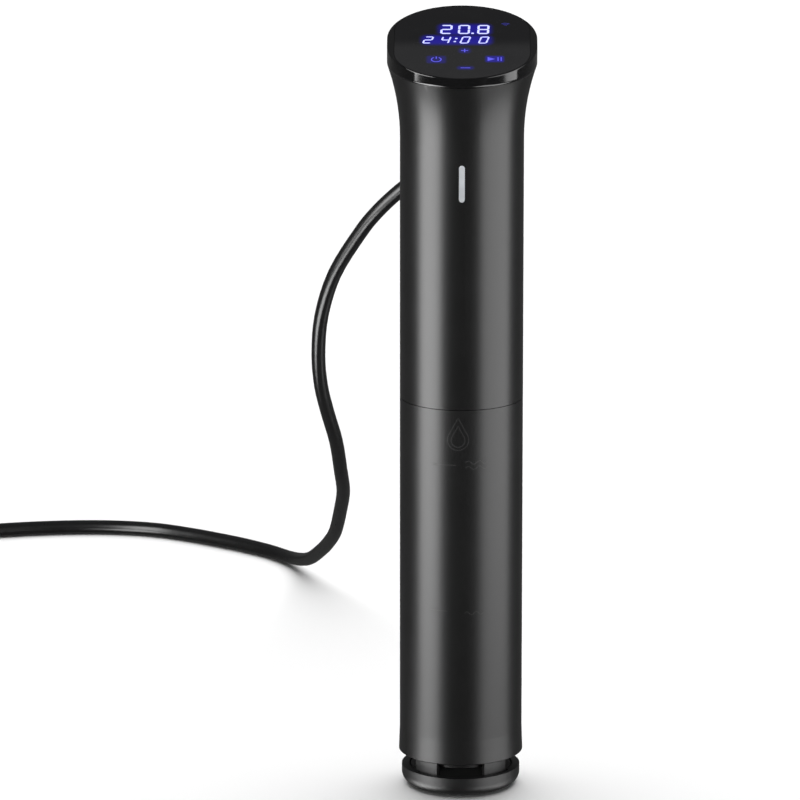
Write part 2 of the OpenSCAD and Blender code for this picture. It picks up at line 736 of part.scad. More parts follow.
module shaft_tube() color("#b9bbbd") ring(tube_r, tube_bore, tube_low, bulk_top - tube_low, mid);

module shaft_bushings() color("#e9e6dc") for (z = [tube_low, bulk_top - bush_len])
    ring(tube_bore - 0.05, shaft_r + run_fit, z, bush_len, mid);

module shaft_seal() color("#7a1f1a") ring(7, shaft_r + run_fit, bulk_top, 3.5, mid);

// ---- motor ----

pillars = [[pillar_off, 0], [-pillar_off, 0], [0, pillar_off]];
can_t = 1;
motor_r = motor_d / 2;

module motor_pillars() color("#b9952f") for (p = pillars)
    translate([p[0], p[1], bulk_top])
        cylinder(r = pillar_r, h = motor_z - mount_t - bulk_top, $fn = mid);

module motor_mount() color("#b4b7ba") difference() {
    translate([0, 0, motor_z - mount_t]) cylinder(r = mount_r, h = mount_t, $fn = fine);
    translate([0, 0, motor_z - mount_t - 1]) cylinder(r = 7, h = mount_t + 2, $fn = mid);
    for (s = [-1, 1]) translate([s * wire_x, wire_y, motor_z - mount_t - 1])
        cylinder(r = wire_r + 0.8, h = mount_t + 2, $fn = mid);
}

module motor_can() color("#9c9fa3") difference() {
    translate([0, 0, motor_z]) cylinder(r = motor_r, h = motor_len, $fn = fine);
    translate([0, 0, motor_z + 1.5]) cylinder(r = motor_r - can_t, h = motor_len, $fn = fine);
    translate([0, 0, motor_z - 1]) cylinder(r = 4 + seat_gap, h = 4, $fn = mid);
}

module motor_magnets() color("#3b3b3e") for (a = [0, 180]) intersection() {
    ring(motor_r - can_t - 0.05, motor_r - can_t - 2.2, motor_z + 5, 32);
    wedge(a, 130, 40, motor_z + 5, 32);
}

// End bell with two carbon brushes on the commutator
module motor_end_bell() color("#1b1b1b") {
    difference() {
        union() {
            translate([0, 0, motor_z + motor_len]) cylinder(r = motor_r, h = 2, $fn = fine);
            translate([0, 0, motor_z + motor_len - 3])
                cylinder(r = motor_r - can_t - 0.1, h = 3 + eps, $fn = fine);
        }
        translate([0, 0, motor_z + motor_len - 4]) cylinder(r = 4.1, h = 8, $fn = mid);
        translate([0, 0, motor_z + motor_len - 4]) cylinder(r = 12, h = 3.5, $fn = mid);
    }
    for (s = [-1, 1]) translate([s * 8.1 - 4, -2, motor_z + motor_len - 6.5]) cube([8, 4, 6.1]);
}

module motor_bushings() color("#b5894a") {
    ring(4, motor_shaft_r + run_fit, motor_z, 3, mid);
    ring(4, motor_shaft_r + run_fit, motor_z + motor_len, 2.6, mid);
}

// ---- rotor: all that spins ----

module armature() color("#a5602d") {
    difference() {
        translate([0, 0, motor_z + 7]) cylinder(r = motor_r - 4, h = 28, $fn = fine);
        for (i = [0:4]) rotate([0, 0, 72 * i]) translate([6, -1, motor_z + 6])
            cube([20, 2, 30]);
    }
    translate([0, 0, motor_z + 35 - eps]) cylinder(r = 4, h = 7, $fn = mid);
    translate([0, 0, coupler_z + 6.5]) cylinder(r = motor_shaft_r,
        h = motor_z + motor_len + 3 - coupler_z - 6.5, $fn = mid);
}

module shaft_coupler() color("#c6a243") difference() {
    translate([0, 0, coupler_z]) cylinder(r = 6, h = coupler_len, $fn = mid);
    translate([0, 0, coupler_z - 1]) cylinder(r = shaft_r + 0.01, h = 7, $fn = mid);
    translate([0, 0, coupler_z + 5]) cylinder(r = motor_shaft_r + 0.01, h = coupler_len, $fn = mid);
}

module drive_shaft() color("#c9cbcd") translate([0, 0, shaft_low])
    cylinder(r = shaft_r, h = coupler_z + 5.8 - shaft_low, $fn = mid);

module impeller() color("#1c1c1e") difference() {
    union() {
        translate([0, 0, blade_z]) cylinder(r = 5.5, h = blade_h + 2, $fn = mid);
        translate([0, 0, blade_z]) cylinder(r = impeller_d / 2, h = 1.4, $fn = fine);
        for (i = [0:blade_count - 1]) rotate([0, 0, i * 360 / blade_count])
            translate([4.5, -2.5, blade_z]) rotate([0, 0, 8])
                cube([impeller_d / 2 - 5.2, 1.6, blade_h]);
    }
    translate([0, 0, blade_z - 1]) cylinder(r = shaft_r + 0.01, h = blade_h + 4, $fn = mid);
}

module impeller_nut() color("#b9bbbd") difference() {
    translate([0, 0, blade_z - 4]) cylinder(r = 4.6, h = 4, $fn = 6);
    translate([0, 0, blade_z - 3]) cylinder(r = shaft_r + 0.01, h = 6, $fn = mid);
}

// ---- skirt ----

inlet_len = 30;
inlet_z = 75;
// The lip: a broken edge below, and a long slope back to the skirt above
lip_bend = 0.4;
lip_bend_in = 0.15;
lip_h = 12;

module skirt() color("#1f1f21") difference() {
    union() {
        translate([0, 0, skirt_z + lip_bend]) cylinder(r = r_out, h = skirt_len - lip_bend, $fn = fine);
        translate([0, 0, skirt_z + lip_bend])
            cylinder(r1 = r_out + lip_over, r2 = r_out, h = lip_h, $fn = fine);
        translate([0, 0, skirt_z])
            cylinder(r1 = r_out - lip_bend_in, r2 = r_out + lip_over, h = lip_bend, $fn = fine);
    }
    translate([0, 0, skirt_z - 1]) cylinder(r = skirt_ri, h = skirt_len + 2, $fn = fine);
    // water inlets at the back, below the lowest water level
    for (i = [-2:2]) rotate([0, 0, 12 * i]) translate([0, skirt_ri - 4, inlet_z])
        slot_y(3.2, inlet_len, 10);
}

neck_r = r_out - neck_in;
lug_h = 1.7;
lug_z = 5.6;
lug_r = neck_r + 1.2;
collar_r = neck_r - 0.4;

module neck_ring() color("#0f0f10") {
    ring(skirt_ri - seat_gap, neck_r - neck_t + 0.5, skirt_z, 8);
    for (q = [45:90:315]) intersection() {
        ring(neck_r, neck_r - neck_t, base_h - 1, outlet_h + 1 + eps);
        wedge(q, post_angle, 2 * neck_r, base_h - 2, outlet_h + 4);
    }
    ring(collar_r, neck_r - neck_t, lug_z, base_h - lug_z - 0.2);
    for (q = [0:90:270]) intersection() {
        ring(lug_r, collar_r - 0.2, lug_z, lug_h);
        wedge(q, 20, 2 * neck_r, lug_z - 1, lug_h + 2);
    }
}

// ---- base cap ----

base_r = r_out - base_in;
cup_r = lug_r + cap_gap + 0.1;
lip_z = lug_z + lug_h + cap_gap;
foot_pad_t = 1;
foot_r = base_r - base_round - 0.5;

module base_cap() color("#141415") difference() {
    union() {
        translate([0, 0, foot_drop + base_round])
            cylinder(r = base_r, h = base_h - foot_drop - base_round, $fn = fine);
        translate([0, 0, foot_drop]) cylinder(r = base_r - base_round, h = base_round, $fn = fine);
        intersection() {
            translate([0, 0, foot_drop + base_round]) rotate_extrude($fn = fine)
                translate([base_r - base_round, 0]) circle(r = base_round, $fn = mid);
            translate([0, 0, foot_drop]) cylinder(r = base_r + 1, h = base_round, $fn = fine);
        }
    }
    translate([0, 0, foot_drop + base_floor_t])
        cylinder(r = cup_r, h = lip_z - foot_drop - base_floor_t, $fn = fine);
    translate([0, 0, lip_z - 1]) cylinder(r = neck_r + cap_gap, h = 20, $fn = fine);
    for (q = [0:90:270]) intersection() {
        translate([0, 0, lip_z - 1]) cylinder(r = cup_r, h = 20, $fn = fine);
        wedge(q - cap_turn, 26, 2 * neck_r, lip_z - 2, 30);
    }
    translate([0, 0, foot_pad_t - 2]) cylinder(r = foot_r, h = 2, $fn = fine);
}

module foot_pad() color("#2a2a2a") cylinder(r = foot_r - seat_gap, h = foot_pad_t, $fn = fine);

// ---- cord ----

function unit(v) = v / norm(v);
function way(p, i) = unit(p[min(i + 1, len(p) - 1)] - p[max(i - 1, 0)]);
function side_of(t) = unit(cross(t, [0, 0, 1]));
function ring_at(p, i, r, n) = let (t = way(p, i), a = side_of(t), b = cross(a, t))
    [for (k = [0:n - 1]) p[i] + r * (cos(360 * k / n) * a + sin(360 * k / n) * b)];

// A tube of n sides swept along a route of points
module swept(p, r, n) {
    m = len(p);
    polyhedron(
        points = [for (i = [0:m - 1]) each ring_at(p, i, r, n)],
        faces = concat(
            [[for (k = [n - 1:-1:0]) k]],
            [for (i = [0:m - 2], k = [0:n - 1])
                [i * n + k, i * n + (k + 1) % n, (i + 1) * n + (k + 1) % n, (i + 1) * n + k]],
            [[for (k = [0:n - 1]) (m - 1) * n + k]]
        )
    );
}

module cord() color("#101012") {
    swept(cord_route, cord_r, 10);
    swept(tail_route, cord_r, 10);
}

module cord_coil() color("#101012") translate([coil_x, coil_y, 0])
    ring(coil_r + coil_w / 2, coil_r - coil_w / 2, 0, coil_h);

module cord_tie() color("#2a2a2c") translate([coil_x, coil_y, 0]) rotate([0, 0, 235])
    difference() {
        translate([coil_r - coil_w / 2 - 0.9, -4, 0]) cube([coil_w + 1.8, 8, coil_h + 0.9]);
        ring(coil_r + coil_w / 2 + 0.05, coil_r - coil_w / 2 - 0.05, -1, coil_h + 1.05);
    }

// Mains plug with two round pins and a boot, lying on its side
module plug() color("#141416") translate(tail_end) rotate([90, 0, 0]) {
    cylinder(r1 = cord_r + 1, r2 = 7, h = 22, $fn = mid);
    translate([0, 0, 22 - eps]) cylinder(r1 = 12, r2 = 18.4, h = 8, $fn = mid);
    translate([0, 0, 30 - 2 * eps]) cylinder(r = 18.4, h = 12, $fn = mid);
    for (s = [-1, 1]) translate([s * 9.5, 0, 42 - 3 * eps]) {
        cylinder(r = 2.4, h = 18, $fn = mid);
        translate([0, 0, 18 - eps]) cylinder(r1 = 2.4, r2 = 1.2, h = 1.2, $fn = mid);
    }
}

upper_housing();
head_bezel();
display_glass();
glass_tape();
display_board();
display_module();
led_digits();
touch_springs();
wifi_module();
buzzer();
board_screws();
light_bar();
light_board();
inner_chassis();
chassis_screws();
head_screws();
power_board();
transformer();
capacitors();
relay();
heat_sink();
triac();
terminal_block();
fuse();
mains_wires();
heater_wires();
cord_clamp();
cord_boot();
bulkhead();
housing_seal();
skirt_seal();
heater_element();
heater_nuts();
heater_terminals();
temperature_probe();
level_rods();
thermal_cutoff();
shaft_tube();
shaft_bushings();
shaft_seal();
motor_pillars();
motor_mount();
motor_can();
motor_magnets();
motor_end_bell();
motor_bushings();
armature();
shaft_coupler();
drive_shaft();
impeller();
impeller_nut();
skirt();
neck_ring();
base_cap();
foot_pad();
cord();
cord_coil();
cord_tie();
plug();
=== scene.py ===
# %% [markdown]
# # A stick immersion circulator
# The real object is a slim tube that stands in a pot. A motor and electronics sit in the
# upper housing, a heater and an impeller in the skirt below it, and a tilted touch panel
# closes the top. The CAD model already has every piece at its real size. This lesson gives
# the pieces their finishes, and builds what CAD leaves plain: the lead, its plug, the head's
# rounded rim, the lit display and the marks on the skirt.

# %% Load the frame
import json
import math

import bmesh
import bpy
from mathutils import Matrix, Vector


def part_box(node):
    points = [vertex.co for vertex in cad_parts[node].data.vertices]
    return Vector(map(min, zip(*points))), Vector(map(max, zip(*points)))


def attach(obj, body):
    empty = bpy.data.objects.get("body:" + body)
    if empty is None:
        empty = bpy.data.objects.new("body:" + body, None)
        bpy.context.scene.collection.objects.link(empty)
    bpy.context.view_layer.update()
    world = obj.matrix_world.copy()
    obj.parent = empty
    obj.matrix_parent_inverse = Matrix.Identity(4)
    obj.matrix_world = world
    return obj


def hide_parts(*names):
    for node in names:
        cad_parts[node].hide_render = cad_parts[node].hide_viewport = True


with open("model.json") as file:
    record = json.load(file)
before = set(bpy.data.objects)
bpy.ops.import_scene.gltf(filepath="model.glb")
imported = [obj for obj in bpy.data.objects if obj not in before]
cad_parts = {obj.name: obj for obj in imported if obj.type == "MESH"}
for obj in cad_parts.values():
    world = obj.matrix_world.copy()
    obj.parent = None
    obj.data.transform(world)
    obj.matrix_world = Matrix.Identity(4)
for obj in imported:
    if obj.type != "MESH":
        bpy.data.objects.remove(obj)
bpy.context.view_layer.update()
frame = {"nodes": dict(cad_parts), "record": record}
nodes = frame["nodes"]
MM = 0.001

# %% [markdown]
# ## The camera
# A tall thin object is best seen from far away through a long lens, which keeps the sides of
# the tube nearly parallel. The camera stands almost 3.5 m off and looks 14 degrees down, which
# shows the panel on top as a wide oval. A close camera with a short lens could frame the same
# view, but it would make the base look much thinner than the head.

# %% Camera
lens_length, sensor_width = 313.4, 36
camera_back, camera_up = 3.2916, 1.0267
look_down, look_left = 14.198, 0.521
camera_data = bpy.data.cameras.new("camera")
camera_data.sensor_width = sensor_width
camera_data.lens = lens_length
camera = bpy.data.objects.new("camera", camera_data)
bpy.context.scene.collection.objects.link(camera)
camera.location = (0, -camera_back, camera_up)
camera.rotation_euler = (math.radians(90 - look_down), 0, math.radians(look_left))
bpy.context.scene.camera = camera
print("camera distance in m:", round(camera.location.length, 2))

# %% [markdown]
# ## The mains lead
# The lead is a round three-core cable, 7.2 mm thick. It leaves the boot at the back of the
# housing, hangs down in a long S and lies on the floor, where its spare length is wound
# into a flat coil with the plug beside it. A curve with a round bevel is the natural way
# to make it, because a curve keeps its thickness round every bend. The hanging stretch and
# the one on the floor follow listed points, since nothing else says how a lead falls.

# %% The lead's route
lead_d = 7.2 * MM
lead_r = lead_d / 2
floor_lift = lead_r + 0.1 * MM
hanging_route = [
    (0, 0.058, 0.300), (-0.0005, 0.066, 0.300), (-0.004, 0.076, 0.2985),
    (-0.011, 0.086, 0.293), (-0.020, 0.094, 0.286), (-0.031, 0.101, 0.276),
    (-0.042, 0.108, 0.264), (-0.051, 0.116, 0.251), (-0.064, 0.129, 0.227),
    (-0.071, 0.143, 0.202), (-0.073, 0.158, 0.178), (-0.072, 0.172, 0.158),
    (-0.069, 0.187, 0.140), (-0.065, 0.205, 0.120), (-0.063, 0.226, 0.099),
    (-0.062, 0.247, 0.082), (-0.064, 0.270, 0.065), (-0.067, 0.296, 0.047),
    (-0.071, 0.317, 0.035), (-0.076, 0.339, 0.024), (-0.083, 0.366, 0.012),
    (-0.092, 0.392, 0.005),
]
floor_route = [
    (-0.104, 0.410), (-0.119, 0.424), (-0.135, 0.436), (-0.150, 0.446), (-0.169, 0.456),
    (-0.190, 0.461), (-0.213, 0.4618), (-0.237, 0.459), (-0.260, 0.454), (-0.282, 0.449),
    (-0.300, 0.4455),
]
route = [Vector(p) for p in hanging_route] + [Vector((x, y, floor_lift)) for x, y in floor_route]
print("chosen points:", len(route))

# %% [markdown]
# ## The coil
# Two turns lie side by side on the floor, and the last stretch climbs on to the groove
# between them. Where it climbs, it rolls round the turn beside it, so the two always stay
# one diameter apart. Writing the radius and height as functions of the angle keeps that
# true, which points placed by eye would not. All the angles are in degrees.

# %% The coil's turns
coil_centre = Vector((-0.312, 0.402, 0))
coil_mid = 38.1 * MM
outer_turn = coil_mid + lead_r
enter_at = 90
inward_from, inward_to = 290, 360
climb_from, climb_to, settled_after = 570, 650, 100
coil_end = 810
climb_roll = 60


def ease(value, low, high):
    """0 below low, 1 above high, and smooth in between."""
    t = min(1, max(0, (value - low) / (high - low)))
    return t * t * (3 - 2 * t)


def coil_point(turned):
    """The lead's centre after the coil has turned by this many degrees."""
    radius = outer_turn - lead_d * ease(turned, inward_from, inward_to)
    lift = floor_lift
    if turned > climb_from:
        roll = math.radians(climb_roll * ease(turned, climb_from, climb_to))
        radius = outer_turn - lead_d * math.cos(roll)
        lift = floor_lift + lead_d * math.sin(roll)
        below = outer_turn - lead_d * ease(turned - 360, inward_from, inward_to)
        reach = lead_d ** 2 - (radius - below) ** 2
        if climb_to < turned < climb_to + settled_after and reach > 0:
            lift = max(lift, floor_lift + math.sqrt(reach))
    angle = math.radians(enter_at + turned)
    return coil_centre + Vector((radius * math.cos(angle), radius * math.sin(angle), lift))


coil_step = 10
coil_route = [coil_point(turned) for turned in range(coil_step, coil_end + 1, coil_step)]
plug_up = 18.6
tail = [(10, 11.2), (20, 13.6), (28, 15.7), (36, 17.6), (44, plug_up), (50, plug_up)]
tail_x = coil_centre.x - coil_mid
tail_route = [Vector((tail_x, coil_centre.y - out * MM, up * MM)) for out, up in tail]
plug_at = tail_route[-1]
print("coil turns:", coil_end / 360)

# %% [markdown]
# ## One smooth curve
# The points alone would make a bent stick, so a Catmull-Rom curve runs through them: it
# passes every point and needs no handles. Blender multiplies a curve's bevel depth by the
# radius of each point. The depth is 1 here and the radius on the points is the lead's own,
# because Blender also grows the object's box by that radius, and the box has to be right.

# %% The lead as one curve
path_steps = 4


def smooth_path(points, steps):
    """A Catmull-Rom curve through the points, with this many steps between two of them."""
    out = []
    for i in range(len(points) - 1):
        before = points[max(i - 1, 0)]
        start, end = points[i], points[i + 1]
        after = points[min(i + 2, len(points) - 1)]
        for step in range(steps):
            t = step / steps
            out.append(0.5 * (2 * start + (end - before) * t
                + (2 * before - 5 * start + 4 * end - after) * t ** 2
                + (3 * start - before - 3 * end + after) * t ** 3))
    return out + [points[-1]]


lead_path = smooth_path(route + coil_route + tail_route, path_steps)
lead_curve = bpy.data.curves.new("mains_lead", "CURVE")
lead_curve.dimensions = "3D"
lead_curve.bevel_depth = 1
lead_curve.bevel_resolution = 8
lead_curve.use_fill_caps = True
spline = lead_curve.splines.new("POLY")
spline.points.add(len(lead_path) - 1)
for knot, place in zip(spline.points, lead_path):
    knot.co = (*place, 1)
    knot.radius = lead_r
spline.use_smooth = True
lead = bpy.data.objects.new("mains_lead", lead_curve)
bpy.context.scene.collection.objects.link(lead)

# %% [markdown]
# ## Shapes made from profiles
# Most of what is left is turned or swept, so two helpers do the work. One turns a profile
# round an axis, like a lathe. The other joins rows of points into a skin. Both give clean
# closed meshes with even quads, which take a rounded edge and a highlight better than a
# primitive that is cut afterwards.

# %% Adding a piece


def add_piece(name, mesh, body):
    """Links a finished mesh and lets it ride on a body."""
    piece = bpy.data.objects.new(name, mesh)
    bpy.context.scene.collection.objects.link(piece)
    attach(piece, body)
    return piece


# %% Skins


def skin(name, rows, filled=True):
    """A mesh from closed rows of points, joined row to row, with its two ends filled or open."""
    bm = bmesh.new()
    made = [[bm.verts.new(p) for p in row] for row in rows]
    count = len(rows[0])
    for low, high in zip(made, made[1:]):
        for i in range(count):
            j = (i + 1) % count
            bm.faces.new((low[i], low[j], high[j], high[i]))
    if filled:
        bm.faces.new(list(reversed(made[0])))
        bm.faces.new(made[-1])
    bmesh.ops.recalc_face_normals(bm, faces=bm.faces)
    mesh = bpy.data.meshes.new(name)
    bm.to_mesh(mesh)
    bm.free()
    return mesh


def smooth_by_angle(mesh, limit=35):
    """Smooth shading, apart from edges sharper than the limit in degrees."""
    mesh.shade_smooth()
    mesh.set_sharp_from_angle(angle=math.radians(limit))


# %% Turned profiles
corner_parts = 5


def round_corner(rise, run, size, turn):
    """Points (rise, run) of a quarter circle that starts at the angle turn, in degrees."""
    angles = [math.radians(turn + 90 * i / corner_parts) for i in range(corner_parts + 1)]
    return [(rise + size * math.sin(a), run + size * math.cos(a)) for a in angles]


def lathe(name, profile, sides=64):
    """Turns a profile of (height, radius) points round the Z axis."""
    turns = [2 * math.pi * i / sides for i in range(sides)]
    rows = [[Vector((radius * math.cos(a), radius * math.sin(a), height)) for a in turns]
        for height, radius in profile]
    return skin(name, rows)


def join_meshes(name, meshes):
    """One mesh made of several, each kept as its own closed shell."""
    bm = bmesh.new()
    for mesh in meshes:
        bm.from_mesh(mesh)
    joined = bpy.data.meshes.new(name)
    bm.to_mesh(joined)
    bm.free()
    return joined


print("points in a rounded corner:", len(round_corner(0, 0, 1, 0)))

# %% [markdown]
# ## The plug
# The plug lies on its side at the end of the lead. A moulded mains plug is one piece of soft
# plastic: a ribbed sleeve that keeps the lead from kinking, a cone and a round face with two
# pins. The sleeve's ribs are part of the turned profile. The pins are separate, because they
# are nickel-plated brass with a plastic collar and need a finish of their own.

# %% Plug
plug_r, face_r, recess_r = 18.35 * MM, 15.2 * MM, 14.6 * MM
sleeve_len, cone_len, face_len = 22 * MM, 8 * MM, 12 * MM
cone_at, face_at = sleeve_len, sleeve_len + cone_len
face_end = face_at + face_len
edge, recess_depth = 1.6 * MM, 0.8 * MM
ribs, rib_pitch, rib_len, rib_fall = 5, 4.0 * MM, 2.2 * MM, 0.4 * MM
first_rib, rib_height, rib_growth, sleeve_wall = 1.6 * MM, 1.2 * MM, 0.5 * MM, 0.7 * MM
sleeve = [(0, lead_r + 0.1 * MM), (0, lead_r + 0.9 * MM)]
for rib in range(ribs):
    start = first_rib + rib_pitch * rib
    outer, inner = lead_r + rib_height + rib_growth * rib, lead_r + sleeve_wall
    sleeve += [(start, outer), (start + rib_len, outer), (start + rib_len + rib_fall, inner),
        (start + rib_pitch - rib_fall, inner)]
cone = [(cone_at, 8.4 * MM), (cone_at + 1.2 * MM, 11.6 * MM), (face_at, 17.4 * MM)]
back_edge = round_corner(face_at + edge, plug_r - edge, edge, -60)[1:]
front_edge = round_corner(face_end - edge, plug_r - edge, edge, 0)
recess = [(face_end, face_r), (face_end - recess_depth, recess_r)]
lay_down = Matrix.Translation(plug_at) @ Matrix.Rotation(math.radians(90), 4, "X")
plug_mesh = lathe("plug_body", sleeve + cone + back_edge + front_edge + recess)
plug_mesh.transform(lay_down)
smooth_by_angle(plug_mesh)
plug = add_piece("mains_plug", plug_mesh, "main")
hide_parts("plug")
print("plug points:", len(plug_mesh.vertices))

# %% Pins of the plug
pin_r, pin_len, pin_off = 2.4 * MM, 19.2 * MM, 9.5 * MM
collar_r, collar_len, pin_tip, pin_step = pin_r * 1.25, 1.4 * MM, 1.2 * MM, 0.2 * MM
pin_profile = [(0, collar_r), (collar_len, collar_r), (collar_len + pin_step, pin_r),
    (pin_len - pin_tip - pin_step, pin_r)]
pin_profile += round_corner(pin_len - pin_tip, pin_r - pin_tip, pin_tip, 0)
pins = []
for side in (-1, 1):
    pin = lathe("pin", pin_profile, sides=32)
    pin.transform(lay_down @ Matrix.Translation((side * pin_off, 0, face_end - recess_depth)))
    pins.append(pin)
pin_mesh = join_meshes("plug_pins", pins)
smooth_by_angle(pin_mesh)
plug_pins = add_piece("plug_pins", pin_mesh, "main")
print("pins:", len(pins), "apart in mm:", round(2 * pin_off / MM, 1))

# %% [markdown]
# ## The strap round the coil
# A short woven strap holds the coil. It goes round both turns as a flat band with
# rounded corners and its free end lies on top. The band is swept along a rounded rectangle,
# in the plane that cuts the coil.

# %% Coil strap
strap_turn = math.radians(235)
strap_half_w, strap_t = 4 * MM, 0.7 * MM
strap_gap, inner_slack, outer_slack = 0.15 * MM, 0.02 * MM, 0.08 * MM
strap_corner_steps = 6


def band_loop(reach, half_span, half_height, corner):
    """A rounded rectangle round (reach, half_height), as (along, up) points."""
    loop = []
    for across, above, turn in ((1, 1, 0), (-1, 1, 90), (-1, -1, 180), (1, -1, 270)):
        for i in range(strap_corner_steps + 1):
            a = math.radians(turn + 90 * i / strap_corner_steps)
            loop.append((reach + across * (half_span - corner) + corner * math.cos(a),
                floor_lift + above * (half_height - corner) + corner * math.sin(a)))
    return loop


out_dir = Vector((math.cos(strap_turn), math.sin(strap_turn), 0))
side_dir = Vector((-math.sin(strap_turn), math.cos(strap_turn), 0))


def strap_row(loop, shift):
    """The loop's points in space, shifted along the lead."""
    return [coil_centre + out_dir * along + side_dir * shift + Vector((0, 0, up)) for along, up in loop]


inside = band_loop(coil_mid, lead_d + strap_gap, lead_r + inner_slack, lead_r)
outside = band_loop(coil_mid, lead_d + strap_gap + strap_t, lead_r + outer_slack, lead_r)
outside = [(along, up + strap_t if up > floor_lift else up) for along, up in outside]
strap_rows = [strap_row(inside, -strap_half_w), strap_row(outside, -strap_half_w),
    strap_row(outside, strap_half_w), strap_row(inside, strap_half_w), strap_row(inside, -strap_half_w)]
strap_mesh = skin("coil_strap", strap_rows, filled=False)
# The last row lies on the first one, so their points are merged and the band closes
bm = bmesh.new()
bm.from_mesh(strap_mesh)
bmesh.ops.remove_doubles(bm, verts=bm.verts, dist=1e-7)
bmesh.ops.recalc_face_normals(bm, faces=bm.faces)
bm.to_mesh(strap_mesh)
bm.free()
smooth_by_angle(strap_mesh)
strap = add_piece("coil_strap", strap_mesh, "main")
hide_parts("cord_tie")
print("strap width in mm:", round(2 * strap_half_w / MM, 1))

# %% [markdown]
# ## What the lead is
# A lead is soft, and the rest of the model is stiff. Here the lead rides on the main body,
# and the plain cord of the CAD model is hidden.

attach(lead, "main")
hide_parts("cord", "cord_coil")

# %% [markdown]
# ## How the finishes are built
# A real surface is never one flat colour. Each finish here starts from a Principled shader
# with plain values, and then gets two layers: a fine grain that roughens the surface, and a
# broad mottle that shifts its tone a little. Both are worked out from the place in space, so
# they need no unwrapping and keep their true scale on every piece.

# %% A finish and its nodes


def start_finish(name, colour, roughness, metallic=0.0, **sockets):
    """A new material whose shader's own sockets hold the values that don't vary."""
    finish = bpy.data.materials.new(name)
    finish.use_nodes = True
    shader = finish.node_tree.nodes["Principled BSDF"]
    shader.inputs["Base Color"].default_value = (*colour, 1)
    shader.inputs["Roughness"].default_value = roughness
    shader.inputs["Metallic"].default_value = metallic
    for socket, value in sockets.items():
        shader.inputs[socket.replace("_", " ")].default_value = value
    return finish


def add_node(finish, kind, **settings):
    """Adds a node and sets its options."""
    node = finish.node_tree.nodes.new(kind)
    for option, value in settings.items():
        setattr(node, option, value)
    return node


def link(finish, source, target):
    """Joins an output socket to an input socket."""
    finish.node_tree.links.new(source, target)


# %% [markdown]
# ## Grain and mottle
# Both layers start from the same noise. Its size is given in metres, so that a half millimetre
# grain is half a millimetre on any piece. The fine layer bumps the surface and changes its
# roughness, and the broad one mixes two close tones.

# %% Grain and mottle


def speckle(finish, size, stretch=(1, 1, 1), detail=3.0):
    """Noise whose features are about this many metres across."""
    place = add_node(finish, "ShaderNodeTexCoord")
    scale = add_node(finish, "ShaderNodeMapping")
    scale.inputs["Scale"].default_value = [1 / (size * s) for s in stretch]
    noise = add_node(finish, "ShaderNodeTexNoise")
    noise.inputs["Scale"].default_value = 1.0
    noise.inputs["Detail"].default_value = detail
    link(finish, place.outputs["Object"], scale.inputs["Vector"])
    link(finish, scale.outputs["Vector"], noise.inputs["Vector"])
    return noise.outputs["Fac"]


noise_low, noise_high = 0.3, 0.7


def spread(finish, value, low, high):
    """Maps a value from the range where most noise lies to low..high."""
    ramp = add_node(finish, "ShaderNodeMapRange")
    ramp.inputs["From Min"].default_value = noise_low
    ramp.inputs["From Max"].default_value = noise_high
    ramp.inputs["To Min"].default_value = low
    ramp.inputs["To Max"].default_value = high
    link(finish, value, ramp.inputs["Value"])
    return ramp.outputs["Result"]


def grain(finish, size, depth, rough, stretch=(1, 1, 1)):
    """A fine grain: it bumps the surface by depth and varies its roughness between two values."""
    shader = finish.node_tree.nodes["Principled BSDF"]
    fine = speckle(finish, size, stretch)
    bump = add_node(finish, "ShaderNodeBump")
    bump.inputs["Strength"].default_value = 1.0
    bump.inputs["Distance"].default_value = depth
    link(finish, fine, bump.inputs["Height"])
    link(finish, bump.outputs["Normal"], shader.inputs["Normal"])
    link(finish, spread(finish, fine, *rough), shader.inputs["Roughness"])


def mottle(finish, size, dark, light):
    """A slow drift of the colour between two close tones."""
    shader = finish.node_tree.nodes["Principled BSDF"]
    mix = add_node(finish, "ShaderNodeMix", data_type="RGBA")
    link(finish, spread(finish, speckle(finish, size, detail=2.0), 0, 1), mix.inputs["Factor"])
    mix.inputs["A"].default_value = (*dark, 1)
    mix.inputs["B"].default_value = (*light, 1)
    link(finish, mix.outputs["Result"], shader.inputs["Base Color"])


print("noise is spread from:", noise_low, "to:", noise_high)

# %% [markdown]
# ## Satin black metal
# The housing and the skirt have a smooth, very dark satin coat. Its look comes almost wholly
# from wide soft reflections, so the base colour is nearly black and the roughness is
# in the middle. The grain is far finer than a millimetre, as on a sprayed or anodised coat.

# %% Satin black metal


def satin_black(name, tone, rough):
    """A dark satin coat on metal."""
    finish = start_finish(name, (tone, tone, tone), rough, Specular_IOR_Level=0.5)
    grain(finish, 0.25 * MM, 0.002 * MM, (rough - 0.025, rough + 0.025))
    mottle(finish, 18 * MM, (tone * 0.8,) * 3, (tone * 1.25, tone * 1.25, tone * 1.3))
    return finish


finishes = {
    "black_metal": satin_black("satin_black_housing", 0.006, 0.33),
    "black_steel": satin_black("satin_black_skirt", 0.007, 0.35),
}
print("coats:", len(finishes))

# %% [markdown]
# ## Plastics, rubber and ceramic
# The head's rim is polished plastic, which mirrors sharply. The base cap and the lead are
# moulded plastic, a little softer. Inside there are white, blue, green and red ones, and
# ceramic. They differ in colour, roughness and the size of their grain, so each is the same
# recipe with its own numbers.

# %% Plastics and rubber


def plastic(name, colour, rough, grain_size=0.5 * MM, grain_depth=0.003 * MM, **sockets):
    """A moulded plastic or rubber with a fine grain and a slight drift in tone."""
    finish = start_finish(name, colour, rough, **sockets)
    grain(finish, grain_size, grain_depth, (rough * 0.9, rough * 1.12))
    mottle(finish, 9 * MM, [c * 0.88 for c in colour], [min(1, c * 1.12) for c in colour])
    return finish


